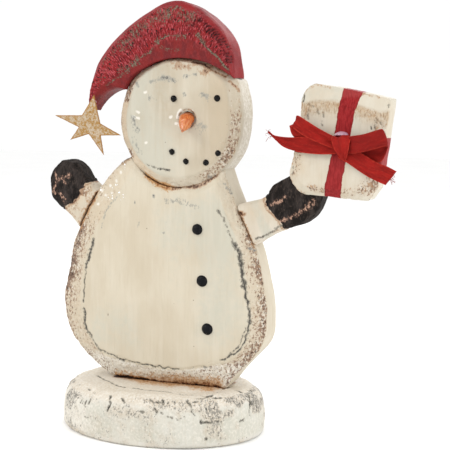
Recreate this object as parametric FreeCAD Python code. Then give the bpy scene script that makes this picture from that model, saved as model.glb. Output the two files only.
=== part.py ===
"""Carved wooden snowman with a gift: slab pieces on an oval foot, dowelled, screwed and glued.

Frame: millimetres, +Z up, the figure faces -Y, +X is on the side of the gift.
The origin is the middle of the foot's underside.
"""
import FreeCAD
import Part

import math
import os

V = FreeCAD.Vector

# ---------------------------------------------------------------- driving dimensions
BASE_HALF_LENGTH, BASE_HALF_DEPTH = 67.5, 49.0
BASE_THICKNESS = 31.0
BASE_SHOULDER_R, BASE_UNDER_R = 13.0, 3.0       # rounding of the upper and lower edge

BODY_FRONT, BODY_RIM, BODY_BACK = -14.0, -8.0, 14.0   # planes of the face, bevel's end and back
BODY_FOOT_LEFT, BODY_FOOT_RIGHT = -31.0, 47.0
HEAD_X, HEAD_Z, HEAD_R = 17.0, 197.0, 40.5
HEAD_FRONT, HEAD_BACK = -15.0, 14.0
HEAD_BEVEL_WIDE, CROWN_BEVEL_WIDE, HEAD_BEVEL_DEEP = 7.0, 2.5, 5.0
NECK_LEFT_X, NECK_RIGHT_X = -17.0, 45.5         # where the shoulders meet the head
HAT_FRONT, HAT_RIM, HAT_SIDE_END, HAT_BACK = -19.0, -13.5, 4.0, 14.0
HAT_LEFT_X = -18.8                              # where the hat leaves the head's round
CROWN_LEFT_X = -12.5                            # where the head's round ends under the hat
CROWN_TOP, CROWN_RIGHT = (19.0, 236.2), (54.8, 222.5)
BACK_BEVEL = 3.0

ARM_HALF_THICKNESS = 9.0
ARM_ROUNDING = 4.0
WAVING_SHOULDER, WAVING_ANGLE = (-49.5, 141.0), 143.5  # middle of the seam, degrees from +X to +Z
GIFT_SHOULDER, GIFT_ANGLE = (64.0, 137.5), 25.0

GIFT_FRONT, GIFT_BACK = -27.0, -9.0
GIFT_BEVEL_DEEP, GIFT_BACK_ROUNDING = 3.5, 1.2
GIFT_PIN = (101.0, 161.0)

DOWEL_R, THIN_DOWEL_R = 4.0, 3.0
DOWEL_HALF_LENGTH, THIN_DOWEL_HALF_LENGTH = 14.0, 9.0
NECK_DOWELS_X = (4.0, 30.0)
HAT_DOWELS_X, HAT_DOWEL_Z = (-1.0, 36.0), 231.2
SCREWS_X = (-12.0, 30.0)
SCREW_R, SCREW_HEAD_R, SCREW_HEAD_HEIGHT = 2.2, 4.3, 3.0
SCREW_RECESS, SCREW_TOP = 1.0, 58.0

EYES = ((15.3, 211.4), (43.8, 211.7))
MOUTH = ((13.9, 178.8), (23.2, 173.1), (36.4, 172.7), (44.3, 178.6))
EYE_R, MOUTH_R, TACK_HEIGHT = 2.15, 1.95, 1.5
TACK_PIN_R, TACK_PIN_LENGTH = 0.7, 8.0
BUTTONS = {"button_top": (30.2, 131.3, 3.5), "button_middle": (33.3, 99.2, 3.8),
           "button_bottom": (36.7, 69.1, 3.8)}
BUTTON_HEIGHT, BUTTON_PIN_R, BUTTON_PIN_LENGTH = 2.6, 1.2, 9.0

NOSE_ROOT, NOSE_TIP = V(24.0, HEAD_FRONT, 199.6), V(25.5, -26.5, 191.2)
NOSE_ROOT_R, NOSE_TIP_R, NOSE_SINK = 4.8, 1.0, 3.0
NOSE_TENON_R, NOSE_TENON_LENGTH = 2.4, 9.0

STAR_THICKNESS, STAR_GLUE_THICKNESS, STAR_GLUE_R = 0.8, 0.6, 1.9
STAR_GLUE_AT = (-37.6, 209.2)
KNOT = (124.3, 186.3)
KNOT_CORNERS = ((-4.5, -3.0), (-2.5, -5.5), (2.5, -5.5), (4.5, -3.0), (4.5, 3.0), (2.5, 5.0),
                (-2.5, 5.0), (-4.5, 3.0))
KNOT_HEIGHT, KNOT_EDGE = 9.0, 1.2
GLUE_R, GLUE_HEIGHT, GLUE_ABOVE_KNOT = 4.2, 3.6, 4.6
RIBBON_THICKNESS, LOOP_PUFF = 1.2, 7.5          # tails lie flat, loops stand off the gift

os.makedirs("parts", exist_ok=True)


# ---------------------------------------------------------------- helpers
def at(point, y=0.0):
    return V(point[0], y, point[1])


def curve(points, y=0.0, closed=False):
    """A smooth edge through (x, z) points in the plane at y."""
    spline = Part.BSplineCurve()
    spline.interpolate([at(p, y) for p in points], PeriodicFlag=closed)
    return spline.toShape()


def line(start, end, y=0.0):
    return Part.makeLine(at(start, y), at(end, y))


def arc(start, middle, end, y=0.0):
    return Part.Arc(at(start, y), at(middle, y), at(end, y)).toShape()


def chain(pieces, y):
    """A closed wire in the plane at y: two points make a line, more make a smooth curve."""
    edges = [line(*p, y) if len(p) == 2 else curve(p, y) for p in pieces]
    return Part.Wire(edges)


def slab(wire, front, back):
    """The solid that a closed wire makes between two planes of constant y."""
    face = Part.Face(wire)
    face.translate(V(0, front - face.BoundBox.YMin, 0))
    return face.extrude(V(0, back - front, 0))


def ruled(first, second):
    """The straight-sided solid between two matching wires."""
    return Part.makeLoft([first, second], True, True)


def rim_edges(shape, y):
    """The edges of a slab that lie in the plane at y."""
    return [e for e in shape.Edges if abs(e.BoundBox.YMin - y) < 1e-3 and abs(e.BoundBox.YMax - y) < 1e-3]


def head_round(x, side):
    """The point of the head's round at x, above (side +1) or below (side -1) its middle."""
    return (x, HEAD_Z + side * math.sqrt(HEAD_R ** 2 - (x - HEAD_X) ** 2))


def pin(middle, direction, half_length, radius):
    """A round dowel centred on a point."""
    way = V(direction).normalize()
    return Part.makeCylinder(radius, 2 * half_length, middle - way * half_length, way)


def in_plane(angle):
    """The unit direction in the plane of the slab, in degrees from +X towards +Z."""
    return V(math.cos(math.radians(angle)), 0, math.sin(math.radians(angle)))


def turned(profile, start, direction):
    """A solid of revolution about a direction, from (distance along it, radius) points."""
    edges = []
    points = [V(0, 0, 0)] + [V(r, 0, d) for d, r in profile] + [V(0, 0, profile[-1][0])]
    for first, second in zip(points, points[1:] + points[:1]):
        if (first - second).Length > 1e-6:
            edges.append(Part.makeLine(first, second))
    solid = Part.Face(Part.Wire(edges)).revolve(V(0, 0, 0), V(0, 0, 1), 360)
    solid.Placement = FreeCAD.Placement(start, FreeCAD.Rotation(V(0, 0, 1), direction))
    return solid


def domed_pin(x, z, surface_y, radius, height, pin_r, pin_length):
    """A domed head that sits on a front face, with its pin behind it."""
    ball_r = (radius ** 2 + height ** 2) / (2 * height)
    ball = Part.makeSphere(ball_r, V(x, surface_y + ball_r - height, z))
    cap = ball.common(Part.makeBox(20, height + 1, 20, V(x - 10, surface_y - height - 1, z - 10)))
    shank = Part.makeCylinder(pin_r, pin_length, V(x, surface_y, z), V(0, 1, 0))
    return cap.fuse(shank).removeSplitter()


def save(name, *shapes):
    solids = [s for shape in shapes for s in shape.Solids]
    assert solids and all(s.isValid() and s.Volume > 0 for s in solids), name
    whole = solids[0] if len(solids) == 1 else Part.makeCompound(solids)
    whole.exportStep(f"parts/{name}.step")
    box = whole.BoundBox
    print(f"{name:18s} {len(solids)} solid(s), {sum(s.Volume for s in solids):9.1f} mm3,"
          f" x {box.XMin:6.1f} {box.XMax:6.1f}, y {box.YMin:5.1f} {box.YMax:5.1f},"
          f" z {box.ZMin:5.1f} {box.ZMax:5.1f}")


# ---------------------------------------------------------------- the foot and the figure
def make_base():
    """Oval foot block with a soft shoulder."""
    ellipse = Part.Ellipse(V(0, 0, 0), BASE_HALF_LENGTH, BASE_HALF_DEPTH).toShape()
    block = Part.Face(Part.Wire(ellipse)).extrude(V(0, 0, BASE_THICKNESS))
    top = [e for e in block.Edges if e.BoundBox.ZMin > BASE_THICKNESS - 1e-3]
    block = block.makeFillet(BASE_SHOULDER_R, top)
    under = [e for e in block.Edges if e.BoundBox.ZMax < 1e-3]
    return block.makeFillet(BASE_UNDER_R, under)


def make_screws():
    """Countersunk screws, driven up through the foot into the body."""
    shank = SCREW_TOP - SCREW_RECESS
    profile = ((0, SCREW_HEAD_R), (SCREW_HEAD_HEIGHT, SCREW_R), (shank - 5, SCREW_R), (shank, 0.4))
    return [turned(profile, V(x, 0, SCREW_RECESS), V(0, 0, 1)) for x in SCREWS_X]


def body_outline(y):
    """The pear-shaped outline of the body in the plane at y."""
    foot_left, foot_right = (BODY_FOOT_LEFT, BASE_THICKNESS), (BODY_FOOT_RIGHT, BASE_THICKNESS)
    neck_left, neck_right = (NECK_LEFT_X, 175.0), (NECK_RIGHT_X, 168.2)
    return chain((
        (neck_left, (-29.5, 166.0), (-41.5, 152.5), (-55.9, 126.4), (-63.0, 104.0), (-65.7, 78.0),
         (-61.0, 58.5), (-48.5, 43.5), foot_left),
        (foot_left, foot_right),
        (foot_right, (61.3, 47.5), (71.5, 61.5), (74.2, 77.0), (71.5, 98.0), (64.2, 124.5),
         (54.0, 146.0), neck_right),
        (neck_right, neck_left)), y)


def make_body(head_blank):
    """Pear-shaped slab with a wide carved bevel round its front face."""
    ridge_left, ridge_right = (-12.5, 170.0), (41.0, 164.0)
    ridge_foot_left, ridge_foot_right = (-33.0, 47.5), (52.5, 52.5)
    ridge = (
        (ridge_left, (-21.5, 153.0), (-33.5, 137.0), (-43.5, 118.5), (-48.6, 97.0), (-50.0, 78.0),
         (-46.3, 62.1), ridge_foot_left),
        (ridge_foot_left, (-12.0, 43.4), (12.0, 42.2), (36.0, 46.6), ridge_foot_right),
        (ridge_foot_right, (61.8, 64.0), (64.3, 81.0), (60.2, 103.0), (55.4, 124.0),
         (47.5, 142.5), ridge_right),
        (ridge_right, ridge_left))
    front = ruled(chain(ridge, BODY_FRONT), body_outline(BODY_RIM))
    block = slab(body_outline(0.0), BODY_RIM, BODY_BACK)
    block = block.makeChamfer(BACK_BEVEL, rim_edges(block, BODY_BACK))
    return block.fuse(front).removeSplitter().cut(head_blank)


def head_outline(inset, crown_inset, y):
    """The head's outline drawn in by an amount: round below, squarer where it runs under the hat."""
    r = HEAD_R - inset
    left, foot, right = (HEAD_X - r, HEAD_Z), (HEAD_X, HEAD_Z - r), (HEAD_X + r, HEAD_Z)
    lower_right = (HEAD_X + r * math.sqrt(0.5), HEAD_Z - r * math.sqrt(0.5))
    cheek = (CROWN_RIGHT[0] + 2.0 - inset, (HEAD_Z + CROWN_RIGHT[1]) / 2)
    crown_left = (CROWN_LEFT_X + 0.6 * inset, head_round(CROWN_LEFT_X, 1)[1] - crown_inset)
    crown_right = (CROWN_RIGHT[0] - inset, CROWN_RIGHT[1] - crown_inset)
    crown_top = (CROWN_TOP[0], CROWN_TOP[1] - crown_inset)
    brow = (HEAD_X - 0.92 * r, HEAD_Z + 0.39 * r)
    edges = [arc(left, (HEAD_X - r * math.sqrt(0.5), HEAD_Z - r * math.sqrt(0.5)), foot, y),
             arc(foot, lower_right, right, y), arc(right, cheek, crown_right, y),
             arc(crown_right, crown_top, crown_left, y), arc(crown_left, brow, left, y)]
    return Part.Wire(edges)


def make_head_blank():
    return slab(head_outline(0, 0, 0.0), HEAD_FRONT, HEAD_BACK)


def make_head():
    """Round slab with a carved bevel, shallow where it runs under the hat."""
    rim, back_rim = HEAD_FRONT + HEAD_BEVEL_DEEP, HEAD_BACK - BACK_BEVEL
    block = slab(head_outline(0, 0, 0.0), rim, back_rim)
    front = ruled(head_outline(HEAD_BEVEL_WIDE, CROWN_BEVEL_WIDE, HEAD_FRONT), head_outline(0, 0, rim))
    back = ruled(head_outline(0, 0, back_rim), head_outline(BACK_BEVEL, BACK_BEVEL, HEAD_BACK))
    return block.fuse([front, back]).removeSplitter()


def make_hat():
    """Crescent cap: its front ridge stands proud, its back is bevelled and its tip is thinned."""
    tip_upper, tip_lower = (-44.6, 207.6), (-40.0, 203.0)
    right, under_left = (CROWN_RIGHT[0], CROWN_RIGHT[1] - 0.5), (HAT_LEFT_X, 216.8)
    outline = (
        (tip_upper, (-42.0, 219.5), (-35.5, 236.0), (-21.0, 252.2), (-3.0, 263.8), (14.0, 270.6),
         (28.5, 266.6), (39.0, 259.4), (47.5, 249.8), (52.4, 238.5), right),
        (right, (40.0, 222.0), (16.0, 226.0), (-6.0, 218.0), under_left),
        (under_left, (-27.5, 216.6), (-35.0, 211.5), tip_lower),
        (tip_lower, tip_upper))
    ridge = (
        ((-41.5, 209.5), (-39.0, 219.5), (-27.5, 239.0), (-14.4, 252.5), (-2.2, 260.0), (13.5, 266.5),
         (26.5, 263.6), (35.2, 259.6), (45.6, 248.2), (51.0, 237.0), (53.6, 226.5)),
        ((53.6, 226.5), (49.0, 231.8), (37.0, 242.0), (18.5, 249.0), (1.0, 240.3), (-20.7, 225.5),
         (-29.0, 221.0)),
        ((-29.0, 221.0), (-34.5, 216.5), (-38.3, 207.0)),
        ((-38.3, 207.0), (-41.5, 209.5)))
    back = (
        ((-22.0, 226.0), (-14.0, 246.0), (0.0, 258.5), (14.0, 265.0), (27.0, 261.5), (35.5, 256.0),
         (43.5, 246.5), (48.0, 236.0), (49.5, 224.0)),
        ((49.5, 224.0), (36.0, 222.0), (16.0, 226.0), (-3.0, 219.0), (-13.0, 217.0)),
        ((-13.0, 217.0), (-17.0, 219.0), (-20.0, 222.0)),
        ((-20.0, 222.0), (-22.0, 226.0)))
    hat = slab(chain(outline, 0.0), HAT_RIM, HAT_SIDE_END)
    hat = hat.fuse([ruled(chain(ridge, HAT_FRONT), chain(outline, HAT_RIM)),
                    ruled(chain(outline, HAT_SIDE_END), chain(back, HAT_BACK))]).removeSplitter()
    tip_thinning = ((-60.0, -9.0), (-43.0, -5.0), (-4.0, 15.0), (-60.0, 15.0))
    corners = [V(x, y, 190.0) for x, y in tip_thinning + tip_thinning[:1]]
    wedge = Part.Face(Part.makePolygon(corners)).extrude(V(0, 0, 90.0))
    head_room = slab(head_outline(0, 0, 0.0), 2 * HAT_FRONT, 2 * HAT_BACK)
    hat = hat.cut([head_room, wedge])
    return max(hat.Solids, key=lambda s: s.Volume)


def make_arm(outline):
    """Arm and mitten in one piece, rounded along both faces and cut off flush with the body's side."""
    arm = slab(Part.Wire(curve(outline, closed=True)), -ARM_HALF_THICKNESS, ARM_HALF_THICKNESS)
    rims = rim_edges(arm, -ARM_HALF_THICKNESS) + rim_edges(arm, ARM_HALF_THICKNESS)
    arm = arm.makeFillet(ARM_ROUNDING, rims).cut(slab(body_outline(0.0), 2 * BODY_FRONT, 2 * BODY_BACK))
    return max(arm.Solids, key=lambda s: s.Volume)


def make_waving_arm():
    return make_arm(((-34.0, 143.0), (-43.5, 153.5), (-49.0, 158.8), (-54.0, 166.0), (-61.0, 171.0),
                     (-69.0, 170.3), (-75.5, 163.0), (-77.2, 154.0), (-74.0, 145.0), (-66.5, 139.3),
                     (-57.5, 130.8), (-47.0, 120.0), (-36.0, 128.0)))


def make_gift_arm():
    return make_arm(((50.0, 144.5), (62.0, 148.8), (71.5, 152.4), (76.0, 158.5), (86.0, 165.3),
                     (97.0, 168.0), (105.5, 164.0), (108.8, 156.0), (106.5, 147.5), (99.0, 138.2),
                     (90.0, 134.4), (81.5, 131.2), (66.5, 122.6), (55.0, 117.0), (47.0, 129.0)))


# ---------------------------------------------------------------- face, buttons and nose
def make_nose():
    """Short carrot with a round tenon in the head."""
    way = (NOSE_TIP - NOSE_ROOT).normalize()
    length = (NOSE_TIP - NOSE_ROOT).Length
    profile = ((0, NOSE_ROOT_R - 0.4), (NOSE_SINK, NOSE_ROOT_R),
               (NOSE_SINK + 0.45 * length, 0.78 * NOSE_ROOT_R),
               (NOSE_SINK + 0.85 * length, 0.42 * NOSE_ROOT_R), (NOSE_SINK + length, NOSE_TIP_R))
    carrot = turned(profile, NOSE_ROOT - way * NOSE_SINK, way)
    tenon = Part.makeCylinder(NOSE_TENON_R, NOSE_TENON_LENGTH, NOSE_ROOT - way * NOSE_TENON_LENGTH, way)
    return carrot.fuse(tenon).removeSplitter()


def make_tacks():
    names = ("eye_tack_left", "eye_tack_right")
    tacks = {name: domed_pin(x, z, HEAD_FRONT, EYE_R, TACK_HEIGHT, TACK_PIN_R, TACK_PIN_LENGTH)
             for name, (x, z) in zip(names, EYES)}
    for number, (x, z) in enumerate(MOUTH, 1):
        tacks[f"mouth_tack_{number}"] = domed_pin(x, z, HEAD_FRONT, MOUTH_R, TACK_HEIGHT,
                                                  TACK_PIN_R, TACK_PIN_LENGTH)
    return tacks


def make_buttons():
    return {name: domed_pin(x, z, BODY_FRONT, r, BUTTON_HEIGHT, BUTTON_PIN_R, BUTTON_PIN_LENGTH)
            for name, (x, z, r) in BUTTONS.items()}


# ---------------------------------------------------------------- gift, bow and star
def make_gift():
    """Hand-cut block, most of all bevelled at the top: one lower corner is round, the other clipped."""
    outline = (
        ((99.0, 208.5), (97.6, 192.0), (94.6, 178.0), (92.4, 169.5)),
        ((92.4, 169.5), (93.5, 162.5), (98.5, 157.4), (105.5, 155.6)),
        ((105.5, 155.6), (140.0, 153.7)),
        ((140.0, 153.7), (145.0, 161.0)),
        ((145.0, 161.0), (148.2, 184.0), (152.0, 211.5)),
        ((152.0, 211.5), (126.0, 217.0), (107.5, 220.2)),
        ((107.5, 220.2), (101.8, 217.0), (99.0, 208.5)))
    ridge = (
        ((103.0, 205.0), (101.8, 192.0), (98.8, 178.5), (97.0, 170.5)),
        ((97.0, 170.5), (97.9, 165.7), (101.5, 162.0), (107.5, 160.8)),
        ((107.5, 160.8), (137.0, 159.2)),
        ((137.0, 159.2), (140.2, 164.0)),
        ((140.2, 164.0), (142.8, 184.0), (145.4, 202.0)),
        ((145.4, 202.0), (126.0, 207.2), (109.0, 209.6)),
        ((109.0, 209.6), (105.2, 208.8), (103.0, 205.0)))
    rim = GIFT_FRONT + GIFT_BEVEL_DEEP
    block = slab(chain(outline, 0.0), rim, GIFT_BACK)
    block = block.makeFillet(GIFT_BACK_ROUNDING, rim_edges(block, GIFT_BACK))
    return block.fuse(ruled(chain(ridge, GIFT_FRONT), chain(outline, rim))).removeSplitter()


def make_bow():
    """Tied length of ribbon: two flat tails, two loops that stand off the gift, and the knot."""
    def flat(corners, front, back):
        wire = Part.makePolygon([at(p) for p in corners + corners[:1]])
        return slab(wire, front, back)

    tails = (((124, 190), (96, 190.5), (83.5, 193.5), (88, 186.5), (97, 181.5), (124, 181)),
             ((124, 188), (140, 181.5), (157.5, 171), (151.5, 164.5), (137, 172), (122, 181)))
    loops = (((123, 189.5), (104, 201.5), (99, 203), (94.5, 196), (99, 189), (123, 182)),
             ((126, 190), (137, 195.5), (146, 196.5), (149.5, 190), (147, 179.5), (138, 178), (124, 182)))
    knot = flat([(KNOT[0] + x, KNOT[1] + z) for x, z in KNOT_CORNERS], GIFT_FRONT - KNOT_HEIGHT, GIFT_FRONT)
    bow = knot.makeChamfer(KNOT_EDGE, rim_edges(knot, GIFT_FRONT - KNOT_HEIGHT))
    for corners in tails:
        bow = bow.fuse(flat(corners, GIFT_FRONT - RIBBON_THICKNESS, GIFT_FRONT))
    for corners in loops:
        bow = bow.fuse(flat(corners, GIFT_FRONT - LOOP_PUFF, GIFT_FRONT))
    return bow.removeSplitter()


def make_bow_glue(bow):
    """Bead of clear glue on the gift, just above the knot."""
    ball_r = (GLUE_R ** 2 + GLUE_HEIGHT ** 2) / (2 * GLUE_HEIGHT)
    ball = Part.makeSphere(ball_r, V(KNOT[0], GIFT_FRONT + ball_r - GLUE_HEIGHT, KNOT[1] + GLUE_ABOVE_KNOT))
    behind = Part.makeBox(40, 20, 40, V(KNOT[0] - 20, GIFT_FRONT, KNOT[1] - 20))
    bead = ball.cut(behind).cut(bow)
    return max(bead.Solids, key=lambda s: s.Volume)


def make_star():
    """Hand-cut star of thin sheet: five uneven points round its middle."""
    back = HAT_FRONT - STAR_GLUE_THICKNESS
    points = ((-36.6, 214.0), (-32.4, 196.0), (-18.0, 188.7), (-32.4, 188.4), (-30.5, 176.2),
              (-40.7, 189.3), (-54.1, 185.3), (-47.4, 193.5), (-64.7, 200.9), (-45.2, 201.0))
    wire = Part.makePolygon([at(p) for p in points + points[:1]])
    return slab(wire, back - STAR_THICKNESS, back)


def make_star_glue():
    """Pad of glue between the star's upper point and the hat's tip."""
    disc = Part.makeCylinder(STAR_GLUE_R, STAR_GLUE_THICKNESS, at(STAR_GLUE_AT, HAT_FRONT), V(0, -1, 0))
    return disc


# ---------------------------------------------------------------- assembly
head_blank = make_head_blank()
base = make_base()
body = make_body(head_blank)
head = make_head()
hat = make_hat()
waving_arm = make_waving_arm()
gift_arm = make_gift_arm()
gift = make_gift()
bow = make_bow()
nose = make_nose()
tacks = make_tacks()
buttons = make_buttons()
screws = make_screws()

neck_dowels = [pin(at(head_round(x, -1)), V(0, 0, 1), DOWEL_HALF_LENGTH, DOWEL_R)
               for x in NECK_DOWELS_X]
hat_dowels = [pin(V(x, 0, HAT_DOWEL_Z), V(0, 0, 1), THIN_DOWEL_HALF_LENGTH, THIN_DOWEL_R)
              for x in HAT_DOWELS_X]
waving_dowel = pin(at(WAVING_SHOULDER), in_plane(WAVING_ANGLE), DOWEL_HALF_LENGTH, DOWEL_R)
gift_arm_dowel = pin(at(GIFT_SHOULDER), in_plane(GIFT_ANGLE), DOWEL_HALF_LENGTH, DOWEL_R)
gift_dowel = pin(at(GIFT_PIN, GIFT_BACK), V(0, 1, 0), THIN_DOWEL_HALF_LENGTH, THIN_DOWEL_R)

recesses = [Part.makeCylinder(SCREW_HEAD_R, SCREW_RECESS, V(x, 0, 0)) for x in SCREWS_X]
for tool in screws + recesses:
    base = base.cut(tool)
for tool in screws + neck_dowels + [waving_dowel, gift_arm_dowel] + list(buttons.values()):
    body = body.cut(tool)
for tool in neck_dowels + hat_dowels + [nose] + list(tacks.values()):
    head = head.cut(tool)
for tool in hat_dowels:
    hat = hat.cut(tool)
waving_arm = waving_arm.cut(waving_dowel)
gift_arm = gift_arm.cut(gift_arm_dowel).cut(gift_dowel)
gift = gift.cut(gift_dowel)

save("base", base)
save("body", body)
save("head", head)
save("hat", hat)
save("waving_arm", waving_arm)
save("gift_arm", gift_arm)
save("gift_block", gift)
save("ribbon_bow", bow)
save("bow_glue", make_bow_glue(bow))
save("star", make_star())
save("star_glue", make_star_glue())
save("nose", nose)
for name, tack in tacks.items():
    save(name, tack)
for name, button in buttons.items():
    save(name, button)
save("neck_dowels", *neck_dowels)
save("hat_dowels", *hat_dowels)
save("waving_arm_dowel", waving_dowel)
save("gift_arm_dowel", gift_arm_dowel)
save("gift_dowel", gift_dowel)
save("base_screws", *screws)
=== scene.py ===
"""Looks of the carved wooden snowman: hand-cut painted slabs, a tied ribbon and a gold star.

Everything is in metres in the frame's own axes. Carving is worked out in millimetres, because
its features are that size: a wood piece is its design solid, remeshed finely and then cut by noise.
"""

import itertools
import math

import bmesh
import bpy
import numpy as np
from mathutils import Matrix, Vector, kdtree


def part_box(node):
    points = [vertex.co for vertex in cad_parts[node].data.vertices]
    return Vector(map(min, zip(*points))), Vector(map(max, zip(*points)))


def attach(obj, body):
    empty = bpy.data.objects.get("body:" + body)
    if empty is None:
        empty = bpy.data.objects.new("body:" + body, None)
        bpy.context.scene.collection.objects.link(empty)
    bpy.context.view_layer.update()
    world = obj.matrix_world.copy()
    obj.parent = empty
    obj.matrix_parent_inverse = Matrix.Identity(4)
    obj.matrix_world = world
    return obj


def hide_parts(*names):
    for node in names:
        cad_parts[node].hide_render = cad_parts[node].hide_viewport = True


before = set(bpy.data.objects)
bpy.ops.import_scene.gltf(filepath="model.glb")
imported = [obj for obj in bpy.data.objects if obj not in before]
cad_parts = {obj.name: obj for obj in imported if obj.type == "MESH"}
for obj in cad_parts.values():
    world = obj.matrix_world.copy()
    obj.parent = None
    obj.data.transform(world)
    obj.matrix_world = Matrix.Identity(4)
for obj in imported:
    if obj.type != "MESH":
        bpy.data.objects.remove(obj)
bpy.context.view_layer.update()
MM = 0.001
CREASE_STEP = 0.5           # millimetres between the points set along a sharp edge


# ---- camera, light and floor
CAMERA_AT = (0.2847, -0.6395, 0.215)
CAMERA_AIM = (0.0432, 0.0, 0.133)
LENS_MM, SENSOR_MM = 88.2, 36.0
LIGHTS_AIM = (0.03, 0, 0.13)
SKY = 1.01
FLOOR_HALF = 3.0
LIT = 0.735                 # how much darker a paint is than it looks, because the studio is bright


def aim(thing, target):
    thing.rotation_euler = (Vector(target) - thing.location).to_track_quat("-Z", "Y").to_euler()


def make_camera():
    data = bpy.data.cameras.new("camera")
    data.lens = LENS_MM
    data.sensor_width = SENSOR_MM
    data.clip_start = 0.01
    camera = link("camera", data)
    camera.location = CAMERA_AT
    aim(camera, CAMERA_AIM)
    bpy.context.scene.camera = camera


def make_light(name, place, size, watts, colour=(1, 1, 1)):
    data = bpy.data.lights.new(name, "AREA")
    data.shape = "SQUARE"
    data.size = size
    data.energy = watts
    data.color = colour
    light = link(name, data)
    light.location = place
    aim(light, LIGHTS_AIM)


def make_studio():
    world = bpy.data.worlds.new("studio")
    world.use_nodes = True
    sky = world.node_tree.nodes["Background"]
    sky.inputs["Color"].default_value = (1, 1, 1, 1)
    sky.inputs["Strength"].default_value = SKY
    bpy.context.scene.world = world
    make_light("key", (-0.75, -0.75, 0.95), 0.5, 6.5, (1.0, 0.985, 0.96))
    make_light("fill", (1.0, -0.25, 0.4), 0.8, 4.0, (0.96, 0.98, 1.0))
    make_light("back", (0.1, 0.9, 0.7), 0.6, 2.5)
    bpy.context.scene.view_settings.view_transform = "Standard"


def make_floor():
    mesh = bpy.data.meshes.new("floor")
    corners = [(x * FLOOR_HALF, y * FLOOR_HALF, 0) for x, y in ((-1, -1), (1, -1), (1, 1), (-1, 1))]
    mesh.from_pydata(corners, [], [(0, 1, 2, 3)])
    floor = link("floor", mesh)
    paint = Paint("floor_white")
    cloud = paint.span(paint.noise(90, detail=2), 0.3, 0.7)
    paint.finish(paint.mix(cloud, (0.965, 0.965, 0.96), (0.98, 0.98, 0.975)), roughness=0.9)
    floor.data.materials.append(paint.material)


# ---- noise over points
def lattice(cells, seed):
    """A repeatable value from 0 to 1 at each whole-numbered lattice point."""
    mixed = cells[:, 0] * 73856093 ^ cells[:, 1] * 19349663 ^ cells[:, 2] * 83492791 ^ (seed + 1) * 2654435761
    mixed = (mixed ^ (mixed >> 15)) * 2246822519 & 0xFFFFFFFF
    mixed = (mixed ^ (mixed >> 13)) * 3266489917 & 0xFFFFFFFF
    return ((mixed ^ (mixed >> 16)) & 0xFFFFFF) / 0xFFFFFF


def noise(points, size, seed=0, octaves=1):
    """Smooth noise, about -1 to 1, with features of a size in millimetres (one number, or x, y, z)."""
    total, reach = np.zeros(len(points)), 0.0
    for octave in range(octaves):
        p = points / (np.asarray(size, float) / 2 ** octave) + 31.7 * (octave + 1)
        low = np.floor(p).astype(np.int64)
        f = p - low
        f = f * f * f * (f * (f * 6 - 15) + 10)
        layer = np.zeros(len(points))
        for corner in itertools.product((0, 1), repeat=3):
            corner = np.array(corner)
            weight = np.prod(np.where(corner == 1, f, 1 - f), axis=1)
            layer += weight * lattice(low + corner, seed + 17 * octave)
        total += (2 * layer - 1) / 2 ** octave
        reach += 1 / 2 ** octave
    return total / reach * 1.6


def rise(value, low, high):
    """0 below low, 1 above high, and smooth between."""
    t = np.clip((value - low) / (high - low), 0, 1)
    return t * t * (3 - 2 * t)


def fall(value, low, high):
    """1 below low, 0 above high, and smooth between."""
    return 1 - rise(value, low, high)


def between(value, low, high, soft):
    """1 inside a range and 0 outside it, with soft ends."""
    return rise(value, low - soft / 2, low + soft / 2) * fall(value, high - soft / 2, high + soft / 2)


def near(gap, width):
    """1 where a gap is nothing, falling off over a width."""
    return np.exp(-(gap / width) ** 2)


def most(*masks):
    """The strongest of several masks at each point."""
    return np.maximum.reduce(masks)


# ---- meshes from the design solids
def link(name, data):
    thing = bpy.data.objects.new(name, data)
    bpy.context.scene.collection.objects.link(thing)
    return thing


def welded(node):
    """The design solid's mesh with its split corners joined again."""
    build = bmesh.new()
    build.from_mesh(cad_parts[node].data)
    bmesh.ops.remove_doubles(build, verts=build.verts, dist=1e-6)
    bmesh.ops.recalc_face_normals(build, faces=build.faces)
    return build


def creases(node, keep=lambda p: True, angle=14):
    """Points in millimetres along the solid's sharp edges whose middles keep() accepts."""
    build = welded(node)
    points = []
    for edge in build.edges:
        if len(edge.link_faces) != 2 or edge.calc_face_angle(0) < math.radians(angle):
            continue
        a, b = (np.array(v.co) / MM for v in edge.verts)
        if keep((a + b) / 2):
            count = max(2, int(np.linalg.norm(b - a) / CREASE_STEP) + 1)
            points.extend(a + (b - a) * t for t in np.linspace(0, 1, count))
    build.free()
    return np.array(points)


def distance(points, targets):
    """Distance in millimetres from each point to the nearest target point."""
    tree = kdtree.KDTree(len(targets))
    for i, p in enumerate(targets):
        tree.insert(p, i)
    tree.balance()
    return np.array([tree.find(p)[2] for p in points])


def vectors(mesh, kind):
    """Three numbers per vertex: its place in metres ("co") or its direction ("normal")."""
    flat = np.empty(len(mesh.vertices) * 3)
    mesh.vertices.foreach_get(kind, flat)
    return flat.reshape(-1, 3)


def fine_copy(node, name, voxel_mm, smooth=4):
    """The design solid as an even, fine mesh with worn edges, its points in millimetres and its normals."""
    mesh = bpy.data.meshes.new(name)
    build = welded(node)
    build.to_mesh(mesh)
    build.free()
    piece = link(name, mesh)
    remesh = piece.modifiers.new("even", "REMESH")
    remesh.mode = "VOXEL"
    remesh.voxel_size = voxel_mm * MM
    ease = piece.modifiers.new("ease", "SMOOTH")
    ease.iterations = smooth
    apply_modifiers(piece)
    piece.data.shade_smooth()
    return piece, vectors(piece.data, "co") / MM, vectors(piece.data, "normal")


def apply_modifiers(piece):
    shaped = piece.evaluated_get(bpy.context.evaluated_depsgraph_get())
    piece.data = bpy.data.meshes.new_from_object(shaped)
    piece.modifiers.clear()


def store(piece, **masks):
    """Keeps each mask as a named value per vertex, which the paint reads."""
    for name, values in masks.items():
        layer = piece.data.attributes.new(name, "FLOAT", "POINT")
        layer.data.foreach_set("value", np.ascontiguousarray(values, np.float32))


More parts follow.
